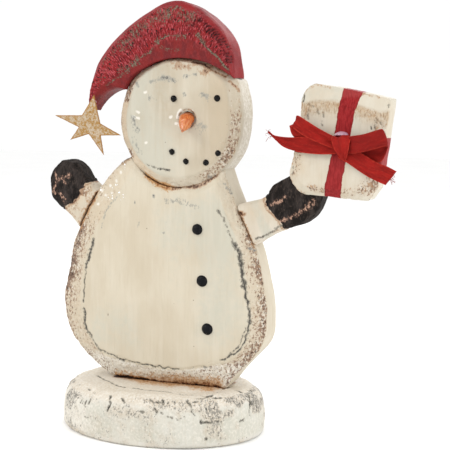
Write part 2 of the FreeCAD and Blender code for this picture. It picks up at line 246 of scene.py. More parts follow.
def move(piece, points):
    piece.data.vertices.foreach_set("co", (points * MM).astype(np.float32).ravel())
    piece.data.update()


def dress(piece, node, paint):
    """The finished piece stands for its node, on the one body, in its paint."""
    piece.data.materials.clear()
    piece.data.materials.append(paint.material)
    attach(piece, "root")
    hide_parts(node)


# ---- a small language for paint
class Paint:
    """A node material built from short calls; sizes are in millimetres in the object's own space."""

    def __init__(self, name):
        self.material = bpy.data.materials.new(name)
        self.material.use_nodes = True
        self.tree = self.material.node_tree
        self.shader = self.tree.nodes["Principled BSDF"]
        self.place = self.tree.nodes.new("ShaderNodeTexCoord").outputs["Object"]
        self.seed = 0

    def feed(self, socket, value):
        if isinstance(value, bpy.types.NodeSocket):
            self.tree.links.new(value, socket)
        elif isinstance(value, tuple) and len(value) == 3 and socket.type == "RGBA":
            socket.default_value = (*value, 1)
        else:
            socket.default_value = value

    def scaled(self, size, stretch, tilt=(0, 0, 0)):
        node = self.tree.nodes.new("ShaderNodeMapping")
        self.seed += 1
        self.feed(node.inputs["Vector"], self.place)
        node.inputs["Location"].default_value = (3.1 * self.seed, 1.7 * self.seed, 2.3 * self.seed)
        node.inputs["Rotation"].default_value = tilt
        node.inputs["Scale"].default_value = tuple(1 / (MM * size * s) for s in stretch)
        return node.outputs["Vector"]

    def noise(self, size, stretch=(1, 1, 1), detail=4.0, roughness=0.55, tilt=(0, 0, 0)):
        node = self.tree.nodes.new("ShaderNodeTexNoise")
        self.feed(node.inputs["Vector"], self.scaled(size, stretch, tilt))
        node.inputs["Scale"].default_value = 1.0
        node.inputs["Detail"].default_value = detail
        node.inputs["Roughness"].default_value = roughness
        return node.outputs["Fac"]

    def cells(self, size, stretch=(1, 1, 1), tilt=(0, 0, 0)):
        """Distance to the nearest scattered point (0 to about 1) and a random value of its cell."""
        node = self.tree.nodes.new("ShaderNodeTexVoronoi")
        self.feed(node.inputs["Vector"], self.scaled(size, stretch, tilt))
        node.inputs["Scale"].default_value = 1.0
        split = self.tree.nodes.new("ShaderNodeSeparateColor")
        self.feed(split.inputs["Color"], node.outputs["Color"])
        return node.outputs["Distance"], split.outputs["Red"]

    def mask(self, name):
        node = self.tree.nodes.new("ShaderNodeAttribute")
        node.attribute_name = name
        return node.outputs["Fac"]

    def math(self, kind, a, b=0.0):
        node = self.tree.nodes.new("ShaderNodeMath")
        node.operation = kind
        self.feed(node.inputs[0], a)
        self.feed(node.inputs[1], b)
        return node.outputs[0]

    def times(self, *values):
        result = values[0]
        for value in values[1:]:
            result = self.math("MULTIPLY", result, value)
        return result

    def plus(self, *values):
        result = values[0]
        for value in values[1:]:
            result = self.math("ADD", result, value)
        return result

    def span(self, value, low, high, start=0.0, end=1.0):
        """start where value is low, end where it is high, and smooth between."""
        node = self.tree.nodes.new("ShaderNodeMapRange")
        node.interpolation_type = "SMOOTHSTEP"
        self.feed(node.inputs["Value"], value)
        for name, number in (("From Min", low), ("From Max", high), ("To Min", start), ("To Max", end)):
            self.feed(node.inputs[name], number)
        return node.outputs["Result"]

    def mix(self, factor, a, b):
        node = self.tree.nodes.new("ShaderNodeMix")
        node.data_type = "RGBA"
        self.feed(node.inputs["Factor"], factor)
        self.feed(node.inputs["A"], a)
        self.feed(node.inputs["B"], b)
        return node.outputs["Result"]

    def swing(self, *size, **kind):
        """Noise about zero."""
        return self.plus(self.noise(*size, **kind), -0.5)

    def tint(self, colour, amount, low, high, target, strength=1.0):
        """The colour, brushed over with a tone as an amount goes from low to high."""
        return self.mix(self.times(self.span(amount, low, high), strength), colour, tone(*target))

    def layered(self, colour, *layers):
        """The colour under several tints; a layer is what tint takes after the colour."""
        for layer in layers:
            colour = self.tint(colour, *layer)
        return colour

    def ragged(self, mask, crumbs):
        """A mask with crumbs added to it wherever it isn't nothing."""
        return self.plus(mask, self.times(crumbs, self.span(mask, 0.02, 0.2)))

    def follow(self, *masks):
        """Patterns made after this run along masks in millimetres, one for each axis."""
        join = self.tree.nodes.new("ShaderNodeCombineXYZ")
        for axis, mask in zip("XYZ", masks):
            self.feed(join.inputs[axis], self.times(self.mask(mask), MM))
        self.place = join.outputs["Vector"]

    def cover(self, name, factor, value):
        """Lays a value over what already feeds one of the shader's inputs."""
        socket = self.shader.inputs[name]
        self.feed(socket, self.mix(factor, socket.links[0].from_socket, value))

    def finish(self, colour, roughness=0.6, height=None, bump_mm=0.1, **constants):
        self.feed(self.shader.inputs["Base Color"], colour)
        self.feed(self.shader.inputs["Roughness"], roughness)
        for name, value in constants.items():
            self.shader.inputs[name.replace("_", " ")].default_value = value
        if height is not None:
            bump = self.tree.nodes.new("ShaderNodeBump")
            bump.inputs["Strength"].default_value = 1.0
            bump.inputs["Distance"].default_value = bump_mm * MM
            self.feed(bump.inputs["Height"], height)
            self.feed(self.shader.inputs["Normal"], bump.outputs["Normal"])
        return self


def tone(*screen):
    """The paint colour that shows in this studio's light as the given screen values, 0 to 255."""
    return tuple(LIT * ((v / 255 + 0.055) / 1.055) ** 2.4 if v > 10 else v / 255 / 12.92 for v in screen)


def grey(value):
    return (value,) * 3


# ---- drawn and rubbed marks
def segment_distance(p, start, end):
    """Distance from points to a segment, which is given by (x, z) ends on a front or (x, y, z) ends."""
    a, b = np.array(start, float), np.array(end, float)
    q = (p if len(a) == 3 else p[:, [0, 2]]) - a
    t = np.clip(q @ (b - a) / max((b - a) @ (b - a), 1e-6), 0, 1)
    return np.linalg.norm(q - t[:, None] * (b - a), axis=1)


def drawn(p, marks):
    """How strongly drawn marks show at each point; a mark is (half width, strength, its points)."""
    shown = np.zeros(len(p))
    for half_width, strength, path in marks:
        for start, end in zip(path, path[1:]):
            shown = np.maximum(shown, strength * near(segment_distance(p, start, end), half_width))
    return shown


def wobble(p, amount, size, seed):
    """Points shifted a little, so that lines drawn from them look hand-made."""
    return p + amount * np.stack([noise(p, size, seed + k) for k in range(3)], 1)


# ---- cream paint
def flecks(paint, size, share, reach=0.28, stretch=(1, 1, 1)):
    """1 inside a few small scattered spots; share is how many of the cells have one."""
    near_spot, pick = paint.cells(size, stretch)
    spot = paint.span(near_spot, reach * 0.6, reach, 1.0, 0.0)
    return paint.times(spot, paint.math("LESS_THAN", pick, share))


# Masks of the cream paint; some of them also carry painted shade and painted light, as noted where they are
# set.
CREAM_MASKS = ("bevel", "line", "stain", "rust", "scuff", "wear", "cool", "warm", "sparkle", "chalk", "dusk")


def store_cream(piece, **masks):
    for name in CREAM_MASKS:
        masks.setdefault(name, np.zeros(len(piece.data.vertices)))
    store(piece, **masks)


BROWN_SPECKLE, GREY_SPECKLE = ((150, 118, 96), (76, 52, 42)), ((156, 152, 142), (78, 76, 68))


def cream_paint(name, light, shade, speckle=BROWN_SPECKLE):
    """Milk paint in vertical strokes over wood: rasped, scored, rubbed, stained and given painted light and
    shade where the masks say.
    """
    paint = Paint(name)
    grain = paint.swing(1.35, (1, 1, 1.3), detail=3, roughness=0.65)
    coarse = paint.swing(3.4, detail=3, roughness=0.6)
    cloud = paint.swing(19, (1, 1, 1.6), detail=3)
    strokes = paint.noise(1.2, (1, 1, 18), detail=3)
    broad = paint.noise(4.5, (1, 1, 9), detail=2)

    def ragged(mask, fine, wide):
        return paint.ragged(paint.mask(mask), paint.plus(paint.times(grain, fine), paint.times(coarse, wide)))

    # rasped wood shows through the paint in crumbs
    bevel = paint.mask("bevel")
    rough_wood = paint.times(paint.span(bevel, 0.02, 0.15), 2.4)
    rasp = paint.times(paint.swing(1.35, (1, 1, 1.4), detail=3, roughness=0.65), rough_wood)
    dots = paint.times(paint.swing(1.0, (1, 1, 1.3), detail=2, roughness=0.6), rough_wood)
    cool = paint.plus(paint.mask("cool"), paint.times(cloud, -1.2), paint.times(coarse, 0.9))
    colour = paint.layered(
        tone(*light),
        (cloud, -0.2, 0.2, shade),
        # A cool grey-green tint: real patches, and painted shade over the right half of the body's front.
        (cool, 0.1, 0.95, (210, 208, 192), 0.7),
        # A warm tint: real on bevels, sleeves, the gift and the foot's top, and painted shade over the right
        # of the face.
        (ragged("warm", 0.5, 0.6), 0.2, 1.0, (226, 205, 176), 0.75),
        # Painted shade: a darker tan wherever this mask is set, which is over the right of the face.
        (paint.mask("dusk"), 0, 1, (200, 184, 158), 0.6),
        (strokes, 0.52, 0.72, (208, 194, 168), 0.25),
        (broad, 0.5, 0.7, (236, 227, 209), 0.22),
        (ragged("bevel", 0, 1.2), 0.1, 1.0, (214, 190, 162), 0.55),
        # A chalky white: real chips, flakes and foot paint, and painted light on the right side of the head.
        (ragged("chalk", 1.6, 0.5), 0.15, 0.85, (250, 244, 232)),
        (paint.plus(paint.times(bevel, 0.5), paint.times(rasp, -1)), 0.45, 0.7, (240, 231, 216), 0.75),
        (paint.plus(rasp, paint.times(bevel, 0.75)), 0.55, 0.7, speckle[0], 0.85),
        (paint.plus(dots, paint.times(bevel, 0.6)), 0.68, 0.8, speckle[1], 0.85),
        (ragged("wear", 2.2, 0.9), 0.45, 0.8, (184, 150, 116), 0.7),
        (ragged("wear", -3.0, 0.6), 0.8, 1.1, (104, 74, 54), 0.8))
    # glaze that ran into the seams, rusty in places
    rust = paint.mask("rust")
    glaze = ragged("stain", 2.0, 0.8)
    thin = paint.mix(rust, tone(186, 150, 120), tone(206, 152, 88))
    thick = paint.mix(rust, tone(104, 74, 60), tone(142, 86, 42))
    colour = paint.mix(paint.times(paint.span(glaze, 0.15, 0.55), 0.8), colour, thin)
    colour = paint.mix(paint.times(paint.span(glaze, 0.6, 0.95), 0.9), colour, thick)
    # grey scuffs, the nose's painted shadow on the face, and scored lines
    scuff, line = ragged("scuff", 3.2, 0.3), ragged("line", 2.6, 0.4)
    colour = paint.layered(
        colour,
        (glaze, 1.05, 1.4, (46, 30, 26)),
        (scuff, 0.3, 0.65, (166, 165, 156), 0.75),
        (scuff, 0.85, 1.2, (88, 87, 84), 0.8),
        (line, 0.25, 0.6, (142, 137, 124), 0.8),
        (line, 0.72, 1.1, (64, 60, 56), 0.88))
    # a few nicks, and mica where it was sprinkled
    nick = flecks(paint, 12, 0.2, 0.07, (1, 1, 2.2))
    speck = flecks(paint, 4.5, 0.07, 0.1)
    colour = paint.mix(paint.times(paint.math("MAXIMUM", nick, speck), 0.7), colour, tone(112, 94, 78))
    mica = paint.math("MAXIMUM", flecks(paint, 3.0, 0.6, 0.27), flecks(paint, 1.7, 0.28, 0.3))
    flake = paint.times(mica, paint.span(paint.mask("sparkle"), 0.3, 0.8))
    colour = paint.mix(flake, colour, grey(1.0))
    gloss = paint.mix(flake, paint.span(strokes, 0.4, 0.7, 0.5, 0.64), grey(0.15))
    height = paint.plus(paint.times(strokes, 0.5), paint.times(rasp, paint.plus(bevel, 0.3)), flake,
                        paint.times(nick, -1.2))
    return paint.finish(colour, gloss, height, 0.3, Specular_IOR_Level=0.25)


# ---- body
BODY_Y, BODY_RIM_Y, BACK_BEVEL_Y = -14.0, -8.0, 9.0
FOOT_TOP = 31.0
HEAD_AT = (17.0, 197.0, 40.5)
BODY_LINES = (
    (1.1, 1.1, ((-42, 122), (-45, 111), (-47, 103))),
    (0.6, 0.9, ((-48, 101), (-49.5, 80))),
    (0.9, 1.1, ((-49.5, 76), (-48, 63), (-44, 58))),
    (0.6, 0.9, ((-44, 57), (-39, 51), (-33, 48), (-23, 44))),
    (1.2, 0.9, ((-24, 44.5), (-22, 43.5))),
    (0.55, 0.95, ((-22, 44), (-2, 42), (17, 42))),
    (0.5, 0.7, ((32, 44.5), (39, 45.5))),
    (0.9, 0.75, ((44, 144), (49, 134))),
    (0.6, 0.7, ((50, 131), (54, 124))),
    (1.5, 1.15, ((55, 123), (58, 117), (60.5, 98))),
    (1.1, 1.15, ((61, 98), (64.5, 81), (64.5, 75))),
    (0.7, 1.1, ((64, 74), (61, 62), (58, 57), (46, 50))),
    (0.5, 0.8, ((62, 72), (57, 59), (52, 55))),
)
BODY_SCUFFS = (
    (1.0, 0.62, ((-24, 150), (-33, 141), (-35.5, 130))),
    (0.8, 1.0, ((62, 120), (63.5, 119.5))),
    (0.7, 1.0, ((65, 118.5), (67.5, 118.5))),
    (2.0, 0.45, ((9, 149), (29, 146))),
    (0.6, 1.1, ((-0.5, 152), (0, 150))),
    (0.6, 1.0, ((-13, 147), (-13, 146))),
    (0.5, 0.9, ((-9, 133.5), (-9.5, 130.5))),
    (0.5, 0.7, ((8, 127.5), (8, 126.5))),
    (1.4, 0.5, ((47, 160), (50, 154))),
)
SHOULDER_FLAKES = tuple((0.95, 1.2, ((x, z), (x + 0.3, z))) for x, z in (
    (-38, 153), (-23, 165), (-35, 150), (-40, 144), (-27, 160), (-32, 157), (-30, 152)))


def on_neck(q):
    """True for points on the round seam between head and body."""
    return abs(math.hypot(q[0] - HEAD_AT[0], q[2] - HEAD_AT[1]) - HEAD_AT[2]) < 0.6


def around_head(p):
    """Angle in degrees (0 towards +X, 90 up) and distance from the middle of the head."""
    x, z = p[:, 0] - HEAD_AT[0], p[:, 2] - HEAD_AT[1]
    return np.degrees(np.arctan2(z, x)) % 360, np.hypot(x, z)


def chin_stain(angle, gap):
    """Glaze in the seam under the chin, and how rusty it is."""
    rusty = between(angle, 233, 264, 8)
    brown = between(angle, 262, 309, 8)
    return np.maximum(0.8 * rusty * near(gap, 2.2), 0.95 * brown * near(gap, 1.1)), rusty


def arm_seams(p):
    """Distance to the seams where the two arms meet the body's edge."""
    left = np.minimum(segment_distance(p, (-41.5, 152.5), (-49.5, 139.5)),
                      segment_distance(p, (-49.5, 139.5), (-54.5, 129.5)))
    right = np.minimum(segment_distance(p, (55.5, 143.0), (60.0, 134.5)),
                       segment_distance(p, (60.0, 134.5), (66.5, 118.5)))
    return left, right


def body_rasp(p, rim):
    """How much of the wood shows on the body's bevel: most on the outer left, outer right and foot."""
    x, y, z = p.T
    heavy = rise(z, 74, 98) * fall(z, 127, 133)
    left = fall(x, -30, -20) * (0.5 + 0.5 * heavy * near(rim, 9.0) + 0.34 * near(rim, 4.5))
    width = np.interp(z, (50, 60, 85, 120), (9.0, 7.0, 4.6, 2.0))
    right = rise(x, 38, 50) * (0.46 + 0.48 * near(rim, width + 1.5))
    foot = fall(z, 44, 52) * (0.4 + 0.16 * rise(x, -15, 30))
    patchy = 0.95 + 0.22 * noise(p, 5, 15, 2)
    return most(left, right, foot) * patchy * (1 - 0.4 * rise(z, 128, 142))


def carve_body():
    piece, p, n = fine_copy("body", "carved_body", 0.7)
    x, y, z = p.T
    warp = wobble(p, 0.8, 9, 1)
    rim = distance(p, creases("body", lambda q: abs(q[1] - BODY_RIM_Y) < 0.5 and not on_neck(q)))
    ridge = distance(warp, creases("body", lambda q: q[1] < BODY_Y + 0.4 and not on_neck(q)))
    back = distance(p, creases("body", lambda q: q[1] > BACK_BEVEL_Y and not on_neck(q)))
    angle, radius = around_head(warp)
    neck = np.abs(radius - HEAD_AT[2])
    left_seam, right_seam = arm_seams(p)
    front = fall(y, BODY_Y + 0.2, BODY_Y + 1.0)
    bevel = (1 - front) * fall(y, BODY_RIM_Y - 0.4, BODY_RIM_Y + 1.2)
    forward = fall(y, BODY_RIM_Y + 1.0, BODY_RIM_Y + 3.0)
    faint = 0.42 * near(ridge, 0.6) * rise(noise(p, 12, 3, 2), -0.5, 0.3) * fall(z, 120, 140)
    lines = np.maximum(drawn(wobble(p, 0.5, 3.0, 20), BODY_LINES) * forward, faint)
    chips = fall(rim, 0.6, 2.6) * rise(noise(p, 3.2, 5, 2), 0.1, 0.7)
    cut = (0.55 * noise(p, 24, 6) + 0.26 * noise(p, 9, 7)) * (1 - 0.65 * front)
    cut += bevel * (0.26 * noise(p, (3.2, 3.2, 2.4), 8, 2) + 0.16 * noise(p, 1.7, 9))
    cut += front * 0.07 * noise(p, (2.4, 3, 20), 10, 2)
    cut -= 0.75 * np.minimum(lines, 1) + 0.5 * chips + 0.4 * near(back, 0.9)
    cut -= 0.4 * near(np.minimum(left_seam, right_seam), 0.7) * forward
    p = p + n * cut[:, None]
    p[:, 1] += 3.0 * fall(neck, 0, 5.5) * fall(y, -13, -9) * rise(z, 150, 158)
    move(piece, p)
    glaze, rusty = chin_stain(angle, neck)
    foot_right = rise(x, -34, -28) * (0.45 + 0.55 * rise(x, -12, 18)) * fall(x, 42, 49)
    seam_width = 1.0 + 1.5 * rise(noise(p, 4, 16), 0.0, 0.5)
    shoulder = fall(x, -26, -8) * rise(z, 120, 138) * forward
    flakes = drawn(warp, SHOULDER_FLAKES) * forward
    store_cream(
        piece,
        bevel=bevel * body_rasp(p, rim),
        line=lines,
        scuff=drawn(warp, BODY_SCUFFS) * forward,
        stain=most(glaze, 1.5 * near(z - FOOT_TOP, 1.7) * between(x, -31, 44, 4),
                   0.74 * foot_right * near(z - FOOT_TOP - 1, 6.0),
                   0.9 * near(left_seam, seam_width) * forward, 0.55 * near(right_seam, 0.8) * forward),
        rust=most(rusty, 0.75 * foot_right * (z < 60), 0.6 * (left_seam < 6), 0.35 * (right_seam < 6)),
        cool=0.5 * front * (between(x, 2, 52, 22) * between(z, 112, 152, 24)
                            # painted shade: this patch darkens and cools the right half of the body's front
                            + 0.9 * between(x, 30, 62, 20) * between(z, 56, 150, 24)
                            + between(x, -46, -6, 18) * between(z, 50, 80, 20)),
        warm=0.35 * bevel + 0.2 * shoulder * bevel,
        chalk=np.maximum(0.62 * bevel * fall(z, 44, 54), flakes),
        sparkle=rise(z, 143, 151) * between(x, -44, -19, 5) * forward * rise(noise(p, 7, 13), -0.7, 0.1),
        wear=0.42 * near(rim, 1.6) + 0.45 * near(back, 1.3) + 0.2 * chips
        + 0.7 * near(rim, 4.0) * between(x, -24, -12, 4) * rise(z, 150, 156) * forward)
    dress(piece, "body", cream_paint("cream_body", (228, 217, 195), (219, 206, 182)))


# ---- head
FACE_Y, FACE_RIM_Y = -15.0, -10.0
NOSE_AT = (24.0, 199.3)
FACE_LINES = (
    (0.55, 0.75, ((-4, 171), (6, 168))),
    (0.8, 1.0, ((6, 168), (12, 167))),
)
FACE_SCUFFS = (
    (1.8, 0.8, ((8, 224), (17, 222.5))),
    (1.6, 0.55, ((0, 221.5), (5, 223))),
    (1.3, 0.75, ((-9.5, 221), (-9, 220))),
    (1.3, 0.6, ((23, 225), (30, 225.5))),
    (1.5, 0.6, ((-0.5, 213), (-0.5, 211.5))),
    (1.3, 0.5, ((3, 212), (3, 211))),
    (1.9, 0.7, ((34, 214), (38.5, 211))),
    (1.2, 0.5, ((22.5, 214.5), (23, 213))),
    (2.6, 0.6, ((-12, 198), (-11, 192))),
    (2.2, 0.4, ((-13, 186), (-8, 178))),
    (1.6, 0.55, ((36, 164.5), (42, 164))),
    (2.6, 0.5, ((46, 168), (50, 171))),
    # The last mark is the nose's painted shadow, to its right and below it.
    (3.4, 0.62, ((29.5, 197), (33.5, 194))),
)
FACE_FLAKES = tuple((0.95, 1.25, ((x, z), (x + 0.3, z))) for x, z in (
    (-4, 215.5), (-11.5, 199.5), (-9.5, 199.5), (-3.5, 185), (13.5, 201), (-9, 203.5), (17, 196.5)))
FACE_STAINS = (
    (0.8, 1.15, ((26, 234.5), (38, 229.5))),
    (0.7, 0.85, ((38, 229.5), (47.5, 225))),
    (0.9, 0.75, ((50.5, 222), (56, 215.5))),
    (0.7, 0.8, ((58.5, 204.5), (59, 193))),
)


def carve_head():
    piece, p, n = fine_copy("head", "carved_head", 0.6, smooth=9)
    x, y, z = p.T
    warp = wobble(p, 0.7, 8, 21)
    rim = distance(p, creases("head", lambda q: abs(q[1] - FACE_RIM_Y) < 0.4))
    back = distance(p, creases("head", lambda q: q[1] > BACK_BEVEL_Y))
    angle, radius = around_head(warp)
    front = fall(y, FACE_Y + 0.3, FACE_Y + 1.4)
    bevel = (1 - front) * fall(y, FACE_RIM_Y - 0.8, FACE_RIM_Y + 1.0)
    forward = fall(y, FACE_RIM_Y + 1.0, FACE_RIM_Y + 3.0)
    lines = drawn(warp, FACE_LINES) * forward
    nose_gap = np.hypot(x - NOSE_AT[0], z - NOSE_AT[1])
    chipped = between(nose_gap, 4.8, 7.2, 1.6) * rise(noise(p, 1.9, 32), -0.3, 0.3) * (z - x > 174) * front
    cut = (0.45 * noise(p, 22, 24) + 0.22 * noise(p, 8, 25)) * (1 - 0.55 * front)
    cut += bevel * (0.18 * noise(p, 3, 26, 2) + 0.1 * noise(p, 1.6, 33))
    cut += front * 0.06 * noise(p, (2.4, 3, 18), 27, 2) + 0.25 * chipped
    cut -= 0.45 * lines + 0.3 * near(back, 0.9) + 0.6 * near(nose_gap - 5.3, 0.7) * front
    p = p + n * cut[:, None]
    move(piece, p)
    glaze, rusty = chin_stain(angle, rim)
    # A dark ring in the groove round the nose: glaze all round, and painted shade added on its right-hand
    # side.
    pits = near(nose_gap - 5.4, 0.7) * front * (0.55 + 0.6 * rise(x, 24, 28))
    under_cap = np.maximum(near(rim, 3.2), 0.8 * between(radius, 33, 42, 4) * between(angle, 52, 100, 10))
    crown = between(angle, 40, 150, 12) * under_cap * (0.55 + 0.5 * noise(p, 4, 29, 2)) * forward
    left_rim = 0.42 * near(rim, 1.5) * between(angle, 120, 235, 20) * rise(noise(p, (5, 5, 9), 30), -0.4, 0.4)
    rasp = between(angle, 292, 372, 16) + between(angle + 360, 292, 372, 16)
    rasp = rasp * (0.36 + 0.2 * between(angle, 318, 338, 12) * rise(noise(p, 6, 34), -0.6, 0.1))
    cheek = 0.8 * between(angle, 318, 345, 10) * between(radius, 30, 36, 3) * front
    upper = between(angle, 70, 230, 20) * rise(noise(p, 7, 35), -0.3, 0.5)
    # Painted light: the right side of the head is made lighter and chalkier, where the light from the right
    # falls.
    side = 0.42 * rise(y, -8, -4) * rise(x, 20, 40) * fall(y, 9, 12)
    store_cream(
        piece,
        bevel=np.maximum(bevel, cheek) * rasp + 0.3 * bevel + 0.62 * bevel * upper,
        line=lines,
        # Grey scuffs, and the painted shadow of the nose.
        scuff=drawn(warp, FACE_SCUFFS) * forward,
        stain=most(glaze, 0.85 * pits, crown, drawn(warp, FACE_STAINS) * forward, left_rim),
        rust=np.maximum(rusty * forward, 0.15 * between(angle, 20, 60, 20)),
        cool=(0.62 * fall(x, -4, 24) + 0.16) * front,
        # painted shade: a darker tan over the right of the face, away from the light
        dusk=0.85 * rise(x, 20, 42) * fall(z, 214, 226) * front,
        # Warm bevels are real; the term over the right of the face is painted shade.
        warm=0.9 * bevel * between(angle, 60, 250, 40) + 0.6 * rise(x, 20, 45) * front,
        sparkle=between(angle, 98, 175, 12) * near(rim, 3.5) * forward,
        chalk=most(1.2 * chipped, drawn(warp, FACE_FLAKES) * front, side),
        wear=0.45 * near(rim, 1.8) + 0.42 * near(back, 1.3))
    dress(piece, "head", cream_paint("cream_face", (222, 211, 190), (204, 191, 168)))


# ---- foot
FOOT_HALF, FOOT_MEAN_R = (67.5, 49.0), 58
FOOT_MARKS = (
    (0.75, 1.2, ((-42, -10, 31), (-25, -22, 31), (-17, -27, 31), (2, -31, 31))),
    (0.65, 1.0, ((2, -31, 31), (22, -30, 31))),
    (0.75, 1.2, ((22, -30, 31), (41, -26, 31), (43, -26, 30))),
    (1.2, 1.15, ((42, -27, 30), (44, -25, 30.5))),
    (0.7, 1.0, ((43, -26, 30), (47, 0, 31))),
    (0.65, 1.1, ((38, -32, 30), (43, -28, 30))),
    (0.7, 1.1, ((45, -27, 30), (50, -24, 29))),
    (0.8, 1.15, ((10, -43, 28.5), (13, -43, 28))),
    (0.9, 1.15, ((15, -43, 28.5), (17, -43, 27.5))),
    (0.7, 1.15, ((18, -41.5, 29), (19, -43, 26.5))),
    (0.65, 1.0, ((22, -41, 29), (22, -42, 27.5))),
    (0.65, 1.05, ((26, -40, 29), (26, -40.5, 28))),
    (0.6, 0.85, ((29, -39, 28.5), (29.5, -39.5, 27.5))),
    (0.9, 1.3, ((33, -36.5, 29), (35, -37.5, 27))),
    (0.7, 1.15, ((36, -35, 28.5), (38, -34.5, 28.5))),
    (0.7, 1.1, ((15, -46, 25), (17, -47, 22.5))),
    (0.7, 1.05, ((19, -46, 23), (19.5, -46, 22.5))),
    (0.7, 1.1, ((23, -45, 21), (24, -45, 20.5))),
    (0.65, 1.0, ((26, -45, 20), (26.5, -45, 19.5))),
    (0.65, 1.0, ((29, -44, 19.5), (29.5, -44, 19))),
    (0.7, 0.85, ((33, -43, 21), (33.5, -43, 20.5))),
    (0.8, 1.25, ((-16, -42, 29), (-15, -46, 25), (-16, -47, 21))),
    (0.65, 1.1, ((-8, -43, 28.5), (-5, -46, 26))),
    (0.6, 1.15, ((-39, -40, 21), (-37.5, -39.5, 23.5))),
    (0.6, 1.15, ((-36.5, -41, 21), (-35.5, -40.5, 23.5))),
    (0.6, 1.15, ((-34, -42, 21.5), (-33, -41.5, 24))),
    (0.6, 1.1, ((-31.5, -43, 22), (-30.5, -42, 24.5))),
    (0.7, 1.0, ((-36, -34, 29.5), (-33.5, -36, 29))),
    (0.7, 0.95, ((-31, -38.5, 28.5), (-28, -40, 28))),
    (0.7, 0.75, ((-52, -24, 28), (-49, -21, 30))),
    (0.7, 1.1, ((-57, -27, 16), (-58.5, -25, 14))),
    (0.5, 0.95, ((-39, -40, 14), (-34, -42.5, 13), (-30, -44, 14.5))),
    (0.8, 1.3, ((-45, -36, 5.5), (-45, -36, 4.5))),
    (0.9, 1.15, ((6, -48, 23), (8, -48, 22.5))),
    (0.7, 1.3, ((42, -38.5, 18.5), (42, -38.5, 17), (47, -35.5, 16))),
    (0.65, 1.1, ((49, -33.5, 17), (53, -30.5, 16))),
    (1.0, 1.0, ((53, -7, 31), (58, -9, 30))),
    (0.7, 0.9, ((59, -2, 30.5), (62, -1, 29))),
    (0.7, 1.15, ((62, -7, 28), (65, -11, 23), (65, -13, 17))),
    (0.65, 0.9, ((61, -21, 15), (63, -17.5, 15))),
    (0.8, 1.3, ((45, -36.5, 6.5), (45, -36.5, 5.5))),
    (0.45, 0.9, ((35, -36.5, 28), (36, -40, 23), (39, -40, 21))),
)


def carve_base():
    piece, p, n = fine_copy("base", "carved_base", 0.8, smooth=3)
    x, y, z = p.T
    around = np.arctan2(y / FOOT_HALF[1], x / FOOT_HALF[0]) * FOOT_MEAN_R
    ring = np.stack([around, 0 * z, z], 1)
    top = rise(n[:, 2], 0.35, 0.75)
    side = (1 - top) * rise(z, 2.0, 5.0)
    behind = rise(y, -14, 4)
    shoulder = near(z - 24.5 - 2.5 * noise(ring, (26, 1, 400), 41), 0.9) * fall(n[:, 2], 0.95, 0.99)
    ticks = rise(noise(ring, (1.6, 1, 60), 42), 0.0, 0.3) * rise(noise(ring, (17, 1, 400), 43), -0.35, 0.1)
    marks = np.maximum(drawn(wobble(p, 0.5, 3.2, 54), FOOT_MARKS), shoulder * ticks * behind)
    cut = 0.7 * noise(p, 22, 47) + 0.45 * noise(p, 9, 48) + 0.16 * noise(p, 3.5, 49, 2)
    cut += top * 0.15 * noise(p, (9, 3, 4), 50, 2)
    cut = cut * rise(z, 0.6, 4.0) - 0.8 * np.minimum(marks, 1) - 0.15 * shoulder
    level = rise(z, 30.6, 30.95) * fall(np.hypot(x / 46, y / 24), 0.9, 1.15) * (1 - np.minimum(marks, 1))
    p = p + n * (cut * (1 - level))[:, None]
    p[:, 2] = np.clip(p[:, 2], 0.0, FOOT_TOP + 0.3)
    move(piece, p)
    foot = np.hypot(np.maximum(np.abs(x - 8) - 39, 0), np.maximum(np.abs(y - 1.5) - 9.5, 0))
    spread = 7.5 + 2.5 * noise(p, 9, 51)
    glow = 0.7 * near(foot, spread) * between(x, -22, 44, 14) * fall(y, 0, 6)
    pale = 0.14 * near(foot, 11) * fall(y, 0, 8)
    contact = 1.2 * near(foot, 1.3) * between(x, -33, 46, 4)
    patches = most(near(np.hypot(x - 54, z - 10), 10) * (y < -5),
                   0.6 * near(np.hypot(x + 25, z - 8), 12) * (y < 0),
                   0.6 * near(np.hypot(x - 8, z - 8), 9) * (y < 0),
                   0.7 * behind * rise(noise(p, 16, 55), 0.1, 0.6))
    crumbly = 0.42 + 0.3 * rise(np.abs(x - 2), 34, 52) + 0.2 * between(z, 18, 30, 4)
    store_cream(
        piece,
        bevel=crumbly * rise(noise(p, 9, 52, 2), -0.6, 0.4) * (1 - 0.85 * rise(z, 29, 30.5)),
        line=marks,
        stain=top * most(glow, contact, pale),
        rust=top * between(x, -20, 46, 20),
        cool=0.5 * side + 0.8 * patches * side,
        warm=0.8 * top,
        chalk=0.5 * top + (0.3 + 0.3 * fall(x, -45, -15)) * side,
        wear=0.2 * shoulder + 0.3 * fall(z, 0.5, 2.5))
    paint = cream_paint("cream_foot", (238, 235, 225), (230, 225, 212), GREY_SPECKLE)
    dress(piece, "base", paint)


# ---- whittled facets
GOLDEN_TURN = 2.39996       # radians; steps of it never line up


def fan_of_directions(count, tilt):
    """Evenly spread unit directions."""
    i = np.arange(count) + 0.5
    lift = 1 - 2 * i / count
    turn = i * GOLDEN_TURN + tilt
    flat = np.sqrt(1 - lift ** 2)
    return np.stack([flat * np.cos(turn), lift, flat * np.sin(turn)], 1)


def whittle(p, chosen, directions, depth=0.8):
    """Flat knife cuts on the chosen points. Returns the points and 1 near the ridges between cuts."""
    centre = p[chosen].mean(0)
    for direction in directions:
        reach = ((p[chosen] - centre) @ direction).max() - depth
        over = np.where(chosen, (p - centre) @ direction - reach, 0)
        p = p - np.maximum(over, 0)[:, None] * direction
    gaps = []
    for direction in directions:
        reach = ((p[chosen] - centre) @ direction).max()
        gaps.append(np.abs((p - centre) @ direction - reach))
    second_nearest = np.sort(np.array(gaps), axis=0)[1]
    return p, near(second_nearest, 0.55) * chosen


